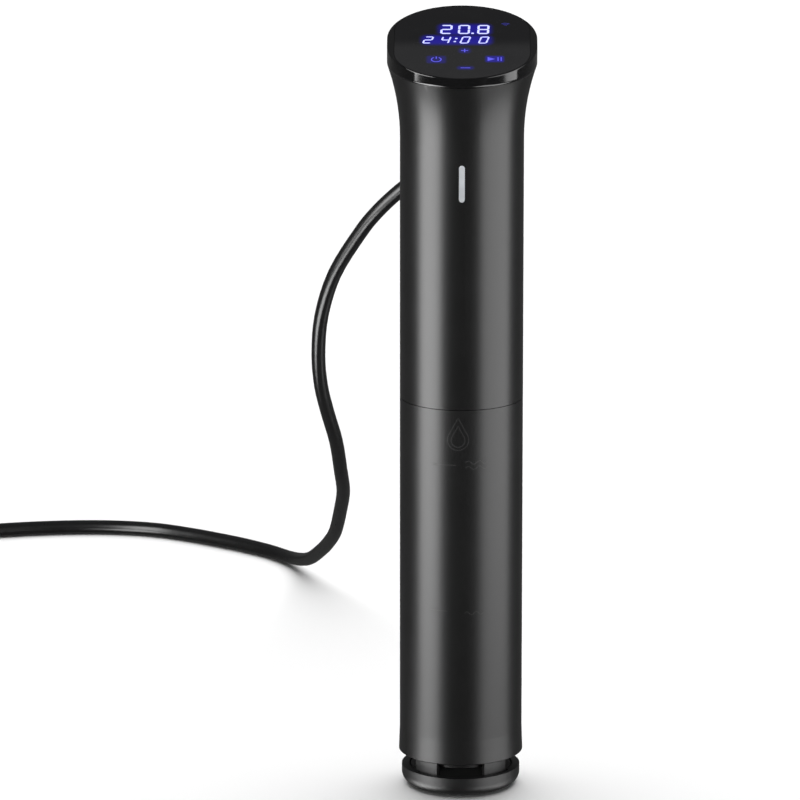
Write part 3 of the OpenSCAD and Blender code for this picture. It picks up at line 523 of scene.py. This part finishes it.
finishes.update({
    "gloss_black": plastic("polished_black_plastic", (0.004, 0.004, 0.0045), 0.09, 1.5 * MM, 0.0006 * MM),
    "black_plastic": plastic("moulded_black_plastic", (0.008, 0.008, 0.0085), 0.44),
    "cord_plastic": plastic("lead_vinyl", (0.007, 0.007, 0.0075), 0.3, 0.8 * MM, 0.004 * MM),
    "rubber": plastic("foot_rubber", (0.03, 0.03, 0.03), 0.75, 0.35 * MM, 0.01 * MM),
    "dark_plastic": plastic("matt_black_plastic", (0.02, 0.02, 0.022), 0.55),
    "grey_plastic": plastic("glass_filled_nylon", (0.07, 0.075, 0.085), 0.5, 0.3 * MM, 0.008 * MM),
    "white_plastic": plastic("natural_white_plastic", (0.72, 0.71, 0.67), 0.38, Subsurface_Weight=0.05),
    "blue_plastic": plastic("blue_sleeve", (0.02, 0.09, 0.28), 0.25),
    "green_plastic": plastic("green_terminal_plastic", (0.02, 0.16, 0.06), 0.45),
    "red_silicone": plastic("red_silicone", (0.33, 0.03, 0.02), 0.42, 0.6 * MM),
    "ceramic": plastic("steatite", (0.74, 0.7, 0.6), 0.32, 0.2 * MM, 0.006 * MM),
    "white_light": plastic("frosted_light_guide", (0.78, 0.79, 0.8), 0.35, Subsurface_Weight=0.1,
        Emission_Color=(0.9, 0.92, 1.0, 1), Emission_Strength=0.12),
})
print("with plastics and rubber:", len(finishes))

# %% [markdown]
# ## Bare metals
# Drawn and turned metal shows fine lines along the way it was worked. The same noise
# serves, stretched a hundred times along the tube, so that it turns into streaks. A texture of
# drawn lines would repeat, and noise never does. The steel is set darker than bare steel is,
# because the strong lights that a black tube needs would burn it out.

# %% Bare metals


def metal(name, colour, rough, stretch=(1, 1, 1)):
    """Bare metal with a worked grain. A stretch along Z draws it out into lines."""
    finish = start_finish(name, colour, rough, 1.0)
    grain(finish, 0.2 * MM, 0.002 * MM, (rough * 0.8, rough * 1.25), stretch)
    mottle(finish, 12 * MM, [c * 0.9 for c in colour], [min(1, c * 1.06) for c in colour])
    return finish


along_z, along_x = (1, 1, 100), (100, 1, 1)
finishes.update({
    "bright_steel": metal("drawn_stainless", (0.2, 0.2, 0.205), 0.42, along_z),
    "tinned_steel": metal("tinned_steel", (0.5, 0.51, 0.52), 0.38),
    "aluminium": metal("milled_aluminium", (0.68, 0.69, 0.7), 0.4, along_x),
    "brass": metal("bright_brass", (0.72, 0.52, 0.2), 0.28),
    "bronze": metal("sintered_bronze", (0.4, 0.24, 0.12), 0.5),
    "iron": metal("ferrite", (0.08, 0.08, 0.085), 0.6),
})
print("with bare metals:", len(finishes))

# %% [markdown]
# ## Windings, boards and glass
# Three finishes have a pattern of their own. A winding is rows of round wire, which a wave
# texture bumps. A board shows its tracks through green lacquer, and bricks of unequal tone
# stand for them. The fuse is clear glass, so it lets light through and only ripples a little.

# %% Windings, boards and glass
# At a scale of 1, Blender's wave texture repeats every 0.31 m
wire_pitch, wave_period = 0.5 * MM, 0.31


def wound_copper():
    """Lacquered wire, laid in rows one wire apart."""
    finish = start_finish("wound_copper", (0.55, 0.24, 0.1), 0.3, 1.0)
    shader = finish.node_tree.nodes["Principled BSDF"]
    place = add_node(finish, "ShaderNodeTexCoord")
    rows = add_node(finish, "ShaderNodeTexWave", bands_direction="Z")
    rows.inputs["Scale"].default_value = wave_period / wire_pitch
    rows.inputs["Distortion"].default_value = 0.4
    bump = add_node(finish, "ShaderNodeBump")
    bump.inputs["Distance"].default_value = 0.12 * MM
    link(finish, place.outputs["Object"], rows.inputs["Vector"])
    link(finish, rows.outputs["Fac"], bump.inputs["Height"])
    link(finish, bump.outputs["Normal"], shader.inputs["Normal"])
    mottle(finish, 4 * MM, (0.4, 0.15, 0.06), (0.62, 0.3, 0.13))
    return finish


def solder_mask():
    """A green board: lacquer over a pattern of tracks, which show as lighter blocks."""
    finish = start_finish("solder_mask", (0.01, 0.12, 0.04), 0.3, Coat_Weight=0.4)
    shader = finish.node_tree.nodes["Principled BSDF"]
    place = add_node(finish, "ShaderNodeTexCoord")
    tracks = add_node(finish, "ShaderNodeTexBrick")
    tracks.inputs["Scale"].default_value = 1 / (5 * MM)
    tracks.inputs["Mortar Size"].default_value = 0.06
    tracks.inputs["Color1"].default_value = (0.008, 0.1, 0.032, 1)
    tracks.inputs["Color2"].default_value = (0.012, 0.14, 0.05, 1)
    tracks.inputs["Mortar"].default_value = (0.03, 0.26, 0.1, 1)
    link(finish, place.outputs["Object"], tracks.inputs["Vector"])
    link(finish, tracks.outputs["Color"], shader.inputs["Base Color"])
    link(finish, spread(finish, speckle(finish, 0.6 * MM), 0.24, 0.36), shader.inputs["Roughness"])
    return finish


def fuse_glass():
    """Clear glass with a faint ripple."""
    finish = start_finish("fuse_glass", (0.9, 0.94, 0.95), 0.05, Transmission_Weight=0.9, IOR=1.5)
    grain(finish, 2 * MM, 0.004 * MM, (0.03, 0.08))
    return finish


finishes["copper"] = wound_copper()
finishes["circuit_board"] = solder_mask()
finishes["glass"] = fuse_glass()
print("finishes so far:", len(finishes))

# %% [markdown]
# ## Finding the tilted panel
# The panel leans 16 degrees towards the front. Its plane is measured from the glass itself:
# the average of the faces that look upwards gives the middle of the glass and its
# normal. Measured this way, everything drawn on the panel follows the CAD model.

# %% The panel's plane
faces_up = 0.8
glass_faces = [f for f in nodes["display_glass"].data.polygons if f.normal.z > faces_up]
glass_area = sum(f.area for f in glass_faces)
panel_up = sum((f.normal * f.area for f in glass_faces), Vector()) / glass_area
panel_up.normalize()
panel_mid = sum((f.center * f.area for f in glass_faces), Vector()) / glass_area
panel_tilt = math.atan2(-panel_up.y, panel_up.z)
to_panel = Matrix.Translation(panel_mid) @ Matrix.Rotation(panel_tilt, 4, "X")
print("panel height in mm:", round(panel_mid.z / MM, 2), "tilt:", round(math.degrees(panel_tilt), 2))

# %% [markdown]
# ## The rim of the head
# The rim is a polished shell between the glass and the housing. Its outline has round
# front and back, flat sides and rounded corners. What makes it look moulded are its edges: a
# fine radius at the glass and a wide one at the joint, which catches a long curved
# highlight. So the rim is a loft: the outline is repeated down the wall and drawn in a little
# wherever an edge turns, and the lowest copies follow the tilted joint.

# %% Outline of the head
corner_steps, round_steps = 16, 60


def head_outline(radius, half_width, corner_less, inset):
    """Round front and back of one radius, flat sides, and corners that are smaller by corner_less."""
    corner_x = half_width - radius + corner_less
    corner_y = math.sqrt(corner_less ** 2 - corner_x ** 2)
    meet = math.atan2(corner_y, corner_x)
    small, big = radius - corner_less - inset, radius - inset
    arcs = [
        (corner_x, corner_y, small, 0, meet, corner_steps),
        (0, 0, big, meet, math.pi - meet, round_steps),
        (-corner_x, corner_y, small, math.pi - meet, math.pi, corner_steps),
        (-corner_x, -corner_y, small, math.pi, math.pi + meet, corner_steps),
        (0, 0, big, math.pi + meet, 2 * math.pi - meet, round_steps),
        (corner_x, -corner_y, small, 2 * math.pi - meet, 2 * math.pi, corner_steps),
    ]
    points = []
    for x, y, r, start, end, steps in arcs:
        for i in range(steps + 1):
            a = start + (end - start) * i / steps
            point = (x + r * math.cos(a), y + r * math.sin(a))
            if not points or math.dist(point, points[-1]) > 1e-7:
                points.append(point)
    return points


rim_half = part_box("head_bezel")[1].x
glass_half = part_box("display_glass")[1].x
head_corner, glass_corner = 4.4 * MM, 15 * MM
head_radius, glass_radius = 38.9 * MM, 38.0 * MM
print("rim width in mm:", round(2 * rim_half / MM, 1), "glass width:", round(2 * glass_half / MM, 1))

# %% [markdown]
# ## The rim, row by row
# The loft starts in the pocket that the glass sits in, comes up over the fine edge, runs down
# the wall, rounds the wide edge and closes inside. A row close to each edge holds the
# rounding in place, because smooth shading would otherwise spread it over the whole wall.

# %% Rows of the rim
joint_tilt = math.radians(8)
joint_height = 360.5 * MM
seam_gap = 0.05 * MM


def rim_row(inset, depth=None, above_joint=0.0):
    """The outline drawn in by inset, at a depth under the panel or at a height over the joint."""
    row = []
    for x, y in head_outline(head_radius, rim_half, head_corner, inset):
        top = to_panel @ Vector((x, y, 0))
        fall = depth
        if depth is None:
            over = top.z - joint_height - top.y * math.tan(joint_tilt)
            slope = panel_up.z - panel_up.y * math.tan(joint_tilt)
            fall = over / slope - above_joint
        row.append(top - panel_up * fall)
    return row


def glass_row(inset, depth):
    """The outline of the glass, at a depth under the panel."""
    return [to_panel @ Vector((x, y, -depth))
        for x, y in head_outline(glass_radius, glass_half, glass_corner, inset)]


print("joint tilt in degrees:", round(math.degrees(joint_tilt), 1))

# %% Head rim
top_edge, joint_edge, wall_t, plate_t = 0.3 * MM, 1.8 * MM, 2 * MM, 4.9 * MM
glass_gap, pocket = 0.12 * MM, 1.95 * MM
lip, lip_mid_in, lip_mid_down = 0.25 * MM, 0.1 * MM, 0.07 * MM
top_hold, wall_mid, joint_hold = 0.2 * MM, 3 * MM, 0.25 * MM
edge_steps = 6
edge_turns = [math.radians(90 * i / edge_steps) for i in range(edge_steps + 1)]
rim_rows = [glass_row(-glass_gap, pocket), glass_row(-glass_gap, lip),
    glass_row(-glass_gap - lip_mid_in, lip_mid_down), glass_row(-glass_gap - lip, 0)]
rim_rows += [rim_row(top_edge * (1 - math.sin(a)), top_edge * (1 - math.cos(a))) for a in edge_turns]
rim_rows += [rim_row(0, top_edge + top_hold), rim_row(0, wall_mid), rim_row(0, None, joint_edge + joint_hold)]
rim_rows += [rim_row(joint_edge * (1 - math.cos(a)), None, joint_edge * (1 - math.sin(a)) + seam_gap)
    for a in edge_turns]
rim_rows += [rim_row(wall_t, None, seam_gap), rim_row(wall_t, plate_t)]
rim_mesh = skin("head_rim", rim_rows)
smooth_by_angle(rim_mesh, 30)
rim = add_piece("head_rim", rim_mesh, "main")
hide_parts("head_bezel")
print("rim points:", len(rim_mesh.vertices))

# %% [markdown]
# ## The lit display
# Blue light-emitting bars shine through the black glass. Each figure is built of seven bars
# with pointed ends, as a real display is, and the lower row leans. Only the lit bars
# are made, as thin tiles almost flush with the glass. The figures are read from a small table
# of which bars each one lights.

# %% Tiles and bars
tile_low, tile_high = -0.5 * MM, 0.03 * MM
figure_width, bar_thick, bar_fill = 0.56, 0.125, 0.97


def tile(name, outline):
    """A thin tile on the panel from a flat outline."""
    rows = [[to_panel @ Vector((x, y, tile_low)) for x, y in outline],
        [to_panel @ Vector((x, y, tile_high)) for x, y in outline]]
    return skin(name, rows)


def bar_outline(x, y, length, thick, upright):
    """A bar with pointed ends round its middle."""
    half, point = length / 2, thick / 2
    flat = [(-half, 0), (-half + point, point), (half - point, point), (half, 0),
        (half - point, -point), (-half + point, -point)]
    return [(x + b, y + a) if upright else (x + a, y + b) for a, b in flat]


lit_bars = {"0": "abcdef", "2": "abged", "4": "fgbc", "8": "abcdefg"}


def figure(sign, x, y, height, lean):
    """Tiles of one figure, with its middle at (x, y)."""
    width, thick = figure_width * height, bar_thick * height
    half = height / 2
    bars = {"a": (0, half, width, 0), "d": (0, -half, width, 0), "g": (0, 0, width, 0),
        "b": (width / 2, half / 2, half, 1), "c": (width / 2, -half / 2, half, 1),
        "e": (-width / 2, -half / 2, half, 1), "f": (-width / 2, half / 2, half, 1)}
    made = []
    for name in lit_bars[sign]:
        bar_x, bar_y, length, upright = bars[name]
        outline = bar_outline(bar_x, bar_y, length * bar_fill, thick, upright)
        made.append(tile("bar", [(x + px + lean * py, y + py) for px, py in outline]))
    return made


def dot(x, y, size, lean=0.0):
    """A small square tile."""
    half = size / 2
    square = [(-half, -half), (half, -half), (half, half), (-half, half)]
    return tile("dot", [(x + px + lean * py, y + py) for px, py in square])


print("bars known for:", " ".join(lit_bars))

# %% Display figures
upper_y, upper_h, upper_lean = 13.1 * MM, 8.4 * MM, 0.04
lower_y, lower_h, lower_lean = 2.0 * MM, 6.4 * MM, 0.22
point_x, point_lift, point_size = 5.0 * MM, 0.2 * MM, 1.2 * MM
colon_x, colon_shift, colon_half, colon_size = -3.2 * MM, 0.35 * MM, 1.6 * MM, 1.1 * MM
figures = []
for sign, x in (("2", -7.6), ("0", 0.9), ("8", 10.2)):
    figures += figure(sign, x * MM, upper_y, upper_h, upper_lean)
for sign, x in (("2", -16.4), ("4", -8.0), ("0", 1.5), ("0", 10.4)):
    figures += figure(sign, x * MM, lower_y, lower_h, lower_lean)
figures.append(dot(point_x, upper_y - upper_h / 2 + point_lift, point_size))
for side in (-1, 1):
    figures.append(dot(colon_x + side * colon_shift, lower_y + side * colon_half, colon_size, lower_lean))
figure_mesh = join_meshes("display_figures", figures)
display_figures = add_piece("display_figures", figure_mesh, "main")
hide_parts("led_digits")
print("lit tiles:", len(figures))

# %% [markdown]
# ## The touch marks
# Four touch fields are printed on the underside of the glass and lit from behind: plus,
# minus, power and start. They are drawn from plain bars, a ring and a triangle, which is all
# that such signs need, and they glow far less than the figures.

# %% Touch marks


def ring_outline(x, y, radius, thick, start, end, sides=20):
    """A piece of a ring, between two angles in degrees."""
    angles = [math.radians(start + (end - start) * i / sides) for i in range(sides + 1)]
    hole = radius - thick
    outer = [(x + radius * math.cos(a), y + radius * math.sin(a)) for a in angles]
    inner = [(x + hole * math.cos(a), y + hole * math.sin(a)) for a in reversed(angles)]
    return outer + inner


def box_outline(x, y, width, height):
    """A plain rectangle round its middle."""
    return [(x - width / 2, y - height / 2), (x + width / 2, y - height / 2),
        (x + width / 2, y + height / 2), (x - width / 2, y + height / 2)]


mark_t = 0.55 * MM
plus_x, plus_y = 1.2 * MM, -9 * MM
minus_x, minus_y = 1.6 * MM, -27 * MM
power_x, power_y = -12.4 * MM, -18.4 * MM
start_x, start_y = 15.6 * MM, -17.8 * MM
wave_x, wave_y = 20.9 * MM, 17.0 * MM
arm, minus_len, power_r = 1.7 * MM, 4.6 * MM, 2.6 * MM
triangle_back, triangle_tip, triangle_half = start_x - 3.4 * MM, start_x + 0.2 * MM, 2 * MM
pause_len, pause_at = 3.8 * MM, (1.6 * MM, 3.1 * MM)
marks = [
    box_outline(plus_x - arm / 2 - mark_t / 4, plus_y, arm - mark_t / 2, mark_t),
    box_outline(plus_x + arm / 2 + mark_t / 4, plus_y, arm - mark_t / 2, mark_t),
    box_outline(plus_x, plus_y, mark_t, 2 * arm),
    box_outline(minus_x, minus_y, minus_len, mark_t),
    ring_outline(power_x, power_y, power_r, mark_t, -240, 60),
    box_outline(power_x, power_y + 1.9 * MM, mark_t, 2.2 * MM),
    [(triangle_back, start_y - triangle_half), (triangle_tip, start_y),
        (triangle_back, start_y + triangle_half)],
]
marks += [box_outline(start_x + along, start_y, mark_t, pause_len) for along in pause_at]
touch_mesh = join_meshes("touch_marks", [tile("mark", outline) for outline in marks])
touch_marks = add_piece("touch_marks", touch_mesh, "main")
link_t = 0.4 * MM
link_arcs = [ring_outline(wave_x, wave_y, r * MM, link_t, 45, 135, sides=12) for r in (1.0, 2.0, 3.0)]
link_mesh = join_meshes("link_mark", [tile("arc", outline) for outline in link_arcs])
link_mark = add_piece("link_mark", link_mesh, "main")
print("touch marks:", len(marks))

# %% [markdown]
# ## Light and glow
# The figures are bright enough to look almost white, with blue edges. The glow round them
# is light that spreads inside the glass. It is worked out on the glass as a distance: how far
# a point lies from the rows of figures and from each mark. Close by it is a deep blue, and
# a few millimetres away it has faded to black.

# %% Light of figures and marks


def lit(name, colour, strength):
    """A finish that shines by itself, with a slight unevenness from bar to bar."""
    finish = start_finish(name, (0.02, 0.02, 0.1), 0.3, Emission_Color=(*colour, 1))
    shader = finish.node_tree.nodes["Principled BSDF"]
    uneven = spread(finish, speckle(finish, 3 * MM), strength * 0.9, strength * 1.1)
    link(finish, uneven, shader.inputs["Emission Strength"])
    return finish


figure_light = lit("figure_light", (0.52, 0.55, 1.0), 1.5)
mark_light = lit("mark_light", (0.13, 0.12, 1.0), 0.8)
link_light = lit("link_light", (0.02, 0.015, 0.5), 0.35)
for piece, light in ((display_figures, figure_light), (touch_marks, mark_light), (link_mark, link_light)):
    piece.data.materials.append(light)
finishes["blue_light"] = figure_light
print("lights:", figure_light.name, mark_light.name)

# %% Distance on the glass


def near_box(finish, place, mid, half, fade):
    """1 inside a rectangle on the panel, falling to 0 at the distance fade outside it."""
    away = add_node(finish, "ShaderNodeVectorMath", operation="SUBTRACT")
    away.inputs[1].default_value = (*mid, 0)
    size = add_node(finish, "ShaderNodeVectorMath", operation="ABSOLUTE")
    over = add_node(finish, "ShaderNodeVectorMath", operation="SUBTRACT")
    # A half size of 1 m straight through the glass keeps its thickness out of the distance
    over.inputs[1].default_value = (*half, 1)
    outside = add_node(finish, "ShaderNodeVectorMath", operation="MAXIMUM")
    outside.inputs[1].default_value = (0, 0, 0)
    far = add_node(finish, "ShaderNodeVectorMath", operation="LENGTH")
    link(finish, place, away.inputs[0])
    link(finish, away.outputs[0], size.inputs[0])
    link(finish, size.outputs[0], over.inputs[0])
    link(finish, over.outputs[0], outside.inputs[0])
    link(finish, outside.outputs[0], far.inputs[0])
    fall = add_node(finish, "ShaderNodeMapRange", interpolation_type="SMOOTHERSTEP")
    fall.inputs["From Max"].default_value = fade
    fall.inputs["To Min"].default_value = 1
    fall.inputs["To Max"].default_value = 0
    link(finish, far.outputs["Value"], fall.inputs["Value"])
    return fall.outputs["Result"]


# %% [markdown]
# ## Black glass
# Each glowing field is a rectangle on the panel, written as its middle, its half size, how far
# the light spreads and how strong it is. The strongest field wins at each point, so two
# fields that overlap don't add up to a bright spot. The lower half of the glass gets a
# painted reflection as well: a paler tone in its colour that stands for the pale room such a
# panel mirrors, which a studio with nothing in it can't give.

# %% Fields of light on the glass
glow_blue = (0.004, 0.0, 0.27, 1)
glow_fields = [
    ((1.2 * MM, upper_y), (9.6 * MM, 2.6 * MM), 5.5 * MM, 0.95),
    ((-2.6 * MM, lower_y), (13.8 * MM, 1.8 * MM), 5.5 * MM, 0.95),
    ((plus_x, plus_y), (0.8 * MM, 0.8 * MM), 3.5 * MM, 0.45),
    ((minus_x, minus_y), (2.4 * MM, 0.2 * MM), 2.8 * MM, 0.45),
    ((power_x, power_y), (3.2 * MM, 2.4 * MM), 2.6 * MM, 0.4),
    ((start_x, start_y), (3.2 * MM, 2.0 * MM), 2.2 * MM, 0.9),
]
# The painted reflection on the glass: how much paler its colour is painted, and the rectangle it fills.
painted_reflection_tone = (0.013, 0.013, 0.013)
reflection_mid, reflection_half, reflection_fade = (0, -29 * MM), (45 * MM, 20 * MM), 14 * MM
print("glowing fields on the glass:", len(glow_fields))

# %% Black glass with its glow


def black_glass():
    """Dark glass that glows blue round what shines behind it, with a painted reflection on its lower half."""
    finish = start_finish("black_glass", (0.003, 0.003, 0.004), 0.06, Emission_Color=glow_blue)
    shader = finish.node_tree.nodes["Principled BSDF"]
    grain(finish, 6 * MM, 0.0015 * MM, (0.05, 0.08))
    mottle(finish, 14 * MM, (0.0025, 0.0025, 0.0035), (0.004, 0.004, 0.005))
    place = add_node(finish, "ShaderNodeTexCoord")
    flat = add_node(finish, "ShaderNodeMapping", vector_type="TEXTURE")
    flat.inputs["Location"].default_value = panel_mid
    flat.inputs["Rotation"].default_value = (panel_tilt, 0, 0)
    link(finish, place.outputs["Object"], flat.inputs["Vector"])
    # Painted reflection: the glass's colour is made paler over its lower half.
    pale = near_box(finish, flat.outputs["Vector"], reflection_mid, reflection_half, reflection_fade)
    lift = add_node(finish, "ShaderNodeVectorMath", operation="SCALE")
    lift.inputs[0].default_value = painted_reflection_tone
    link(finish, pale, lift.inputs["Scale"])
    paler = add_node(finish, "ShaderNodeVectorMath", operation="ADD")
    link(finish, shader.inputs["Base Color"].links[0].from_socket, paler.inputs[0])
    link(finish, lift.outputs[0], paler.inputs[1])
    link(finish, paler.outputs[0], shader.inputs["Base Color"])
    total = None
    for mid, half, fade, strength in glow_fields:
        near = near_box(finish, flat.outputs["Vector"], mid, half, fade)
        part = add_node(finish, "ShaderNodeMath", operation="MULTIPLY")
        part.inputs[1].default_value = strength
        link(finish, near, part.inputs[0])
        if total is None:
            total = part.outputs[0]
            continue
        both = add_node(finish, "ShaderNodeMath", operation="MAXIMUM")
        link(finish, total, both.inputs[0])
        link(finish, part.outputs[0], both.inputs[1])
        total = both.outputs[0]
    link(finish, total, shader.inputs["Emission Strength"])
    return finish


finishes["tinted_glass"] = black_glass()
print("nodes in the glass:", len(finishes["tinted_glass"].node_tree.nodes))

# %% [markdown]
# ## The marks on the skirt
# The skirt carries faint engraved marks: a long line with a sign of water at the highest
# level, the same at the lowest level, and a drop above them. They are cut by laser, so they
# have next to no depth and differ mostly in sheen. Here each stroke is a thin strip that
# stands a hair above the coat. It is bent round the tube, because a flat one would dip
# under its curve.

# %% Strokes bent round the tube
tube_r = 30 * MM
mark_low, mark_high = -0.1 * MM, 0.035 * MM


def on_tube(x, z, lift):
    """A point at x across the front and height z, lifted off the tube."""
    around = x / tube_r
    r = tube_r + lift
    return Vector((r * math.sin(around), -r * math.cos(around), z))


def stroke(points, width):
    """A strip along a line of (x, z) points, bent round the tube."""
    left, right = [], []
    for i, (x, z) in enumerate(points):
        before, after = points[max(i - 1, 0)], points[min(i + 1, len(points) - 1)]
        run, rise = after[0] - before[0], after[1] - before[1]
        size = math.hypot(run, rise)
        across = (-rise / size * width / 2, run / size * width / 2)
        left.append((x + across[0], z + across[1]))
        right.append((x - across[0], z - across[1]))
    rows = []
    for a, b in zip(left, right):
        corners = (a, mark_low), (a, mark_high), (b, mark_high), (b, mark_low)
        rows.append([on_tube(*p, lift) for p, lift in corners])
    return skin("stroke", rows)


print("strokes stand proud by mm:", round(mark_high / MM, 3))

# %% Lines, waves and drops
wave_steps, swells = 24, 2
drop_tip, drop_from, drop_to, drop_step = 2.1, 150, 391, 12


def between(start, end, parts):
    """Points on a straight line, in short steps, so that it can bend round the tube."""
    return [(start[0] + (end[0] - start[0]) * i / parts, start[1] + (end[1] - start[1]) * i / parts)
        for i in range(parts + 1)]


def level_line(x0, x1, z):
    """A level line."""
    return between((x0, z), (x1, z), 12)


def wave(x, z, width, height):
    """Swells of water, as a smooth line."""
    turn = 2 * math.pi * swells / wave_steps
    return [(x - width / 2 + width * i / wave_steps, z + height / 2 * math.sin(turn * i))
        for i in range(wave_steps + 1)]


def drop(x, z, size):
    """A water drop: a circle below that runs up to a point."""
    angles = [math.radians(a) for a in range(drop_from, drop_to, drop_step)]
    low = [(x + size * math.cos(a), z + size * math.sin(a)) for a in angles]
    tip = (x, z + drop_tip * size)
    return low + between(low[-1], tip, 5)[1:] + between(tip, low[0], 5)[1:]


print("points in a wave:", len(wave(0, 0, 1, 1)), "in a drop:", len(drop(0, 0, 1)))

# %% Skirt marks
line_w, wave_h = 0.45 * MM, 1.6 * MM
top_level, top_spread, low_level, low_drop = 168.8 * MM, 1.3 * MM, 95.3 * MM, 1.0 * MM
top_wave_x, low_wave_x, drop_x = 7.6 * MM, 6.4 * MM, -1.6 * MM
lines = [level_line(-14.6 * MM, -2.6 * MM, top_level), level_line(-15.7 * MM, -6.7 * MM, low_level)]
waves = [wave(top_wave_x, top_level + side * top_spread, 11 * MM, wave_h) for side in (1, -1)]
waves.append(wave(low_wave_x, low_level - low_drop, 9.5 * MM, wave_h))
drops = [drop(drop_x, 181.5 * MM, 5.2 * MM), drop(drop_x, 181.3 * MM, 3.4 * MM)]
strokes = [stroke(points, line_w) for points in lines + waves + drops]
stroke_mesh = join_meshes("skirt_marks", strokes)
skirt_marks = add_piece("skirt_marks", stroke_mesh, "skirt_unit")
etched = start_finish("etched_coat", (0.022, 0.022, 0.023), 0.5)
grain(etched, 0.12 * MM, 0.004 * MM, (0.42, 0.58))
mottle(etched, 3 * MM, (0.018,) * 3, (0.026,) * 3)
skirt_marks.data.materials.append(etched)
print("strokes on the skirt:", len(strokes))

# %% [markdown]
# ## Giving every piece its finish
# The record names a finish for each CAD piece, so one loop dresses them all, hidden ones
# as well: they come into view when the skirt slides off. One piece is an exception. The neck
# under the skirt shares its finish with the polished head, but the real one looks duller,
# so it gets a finish of its own. The pieces made here follow.

# %% Dress the pieces
for row in frame["record"]["subparts"]:
    data = nodes[row["node"]].data
    data.materials.clear()
    data.materials.append(finishes[row["material_slot"]])
dull_neck = plastic("dull_black_plastic", (0.008, 0.008, 0.0085), 0.5)
nodes["neck_ring"].data.materials[0] = dull_neck
made_here = [(lead, "cord_plastic"), (plug, "cord_plastic"), (plug_pins, "bright_steel"),
    (strap, "dark_plastic"), (rim, "gloss_black")]
for piece, slot in made_here:
    piece.data.materials.append(finishes[slot])

# %% [markdown]
# ## Floor
# The floor is a plain pale sheet, far larger than the object, so that its edge never shows.
# A very slight tone change keeps it from looking like an empty background. Polished black
# would mirror so pale a floor as a white stripe, so the floor is kept out of reflections. On
# a real product table a black card does the same.

# %% Floor
floor_half, floor_level = 12.0, -0.1 * MM
floor_mesh = bpy.data.meshes.new("floor")
floor_corners = [(x * floor_half, y * floor_half, floor_level)
    for x, y in ((-1, -1), (1, -1), (1, 1), (-1, 1))]
floor_mesh.from_pydata(floor_corners, [], [(0, 1, 2, 3)])
floor = bpy.data.objects.new("floor", floor_mesh)
bpy.context.scene.collection.objects.link(floor)
floor_finish = start_finish("pale_floor", (0.86, 0.86, 0.86), 0.9, Specular_IOR_Level=0.0)
mottle(floor_finish, 0.6, (0.85, 0.85, 0.85), (0.87, 0.87, 0.87))
floor_mesh.materials.append(floor_finish)
floor.visible_glossy = False
print("floor side in m:", 2 * floor_half)

# %% [markdown]
# ## Light
# Dark satin metal shows little but reflections, so its light is built like a product
# table's: one tall softbox on each side draws a soft band down the tube, with a dark stripe
# between them. Two low cards, set below the floor, draw the curves under the head's rim. No
# real table could hold them there, but a floor that is out of reflections doesn't hide
# them. All four light only what is glossy. A broad sun whitens the floor, and a weak white
# world keeps the shadows open. The Standard view shows white as white, where Blender's
# default view would grey it.

# %% The world and the sun
world = bpy.data.worlds.new("studio")
world.use_nodes = True
background = world.node_tree.nodes["Background"]
background.inputs["Color"].default_value = (1, 1, 1, 1)
background.inputs["Strength"].default_value = 0.12
bpy.context.scene.world = world
bpy.context.scene.view_settings.view_transform = "Standard"
sun_strength, sun_spread, sun_lean = 4.0, math.radians(80), math.radians(-28)
sun_data = bpy.data.lights.new("broad_light", "SUN")
sun_data.energy, sun_data.angle = sun_strength, sun_spread
sun = bpy.data.objects.new("broad_light", sun_data)
bpy.context.scene.collection.objects.link(sun)
sun.rotation_euler = (sun_lean, 0, 0)
sun.visible_glossy = False
print("sun strength:", sun_strength)

# %% Softboxes
stick_mid = Vector((0, 0, 0.19))


def softbox(name, turn, rise, distance, width, height, power):
    """A rectangular light for glossy surfaces that faces the stick from a direction, in degrees."""
    light = bpy.data.lights.new(name, "AREA")
    light.shape = "RECTANGLE"
    light.size, light.size_y, light.energy = width, height, power
    lamp = bpy.data.objects.new(name, light)
    bpy.context.scene.collection.objects.link(lamp)
    side, up = math.radians(turn), math.radians(rise)
    away = Vector((math.sin(side) * math.cos(up), -math.cos(side) * math.cos(up), math.sin(up)))
    lamp.location = stick_mid + away * distance
    lamp.rotation_euler = away.to_track_quat("Z", "Y").to_euler()
    lamp.visible_camera = False
    lamp.visible_diffuse = False


box_away, box_height, card_away, card_height = 0.9, 1.0, 0.75, 0.36
softbox("left_box", -61, 5, box_away, 0.72, box_height, 20)
softbox("right_box", 67, 5, box_away, 1.1, box_height, 13.5)
softbox("left_card", -80, -50, card_away, 0.55, card_height, 6.0)
softbox("right_card", 70, -50, card_away, 0.75, card_height, 3.4)

# %% [markdown]
# ## The end
# The finished model must stay in the box of the CAD model.

# %% Update the scene
bpy.context.view_layer.update()
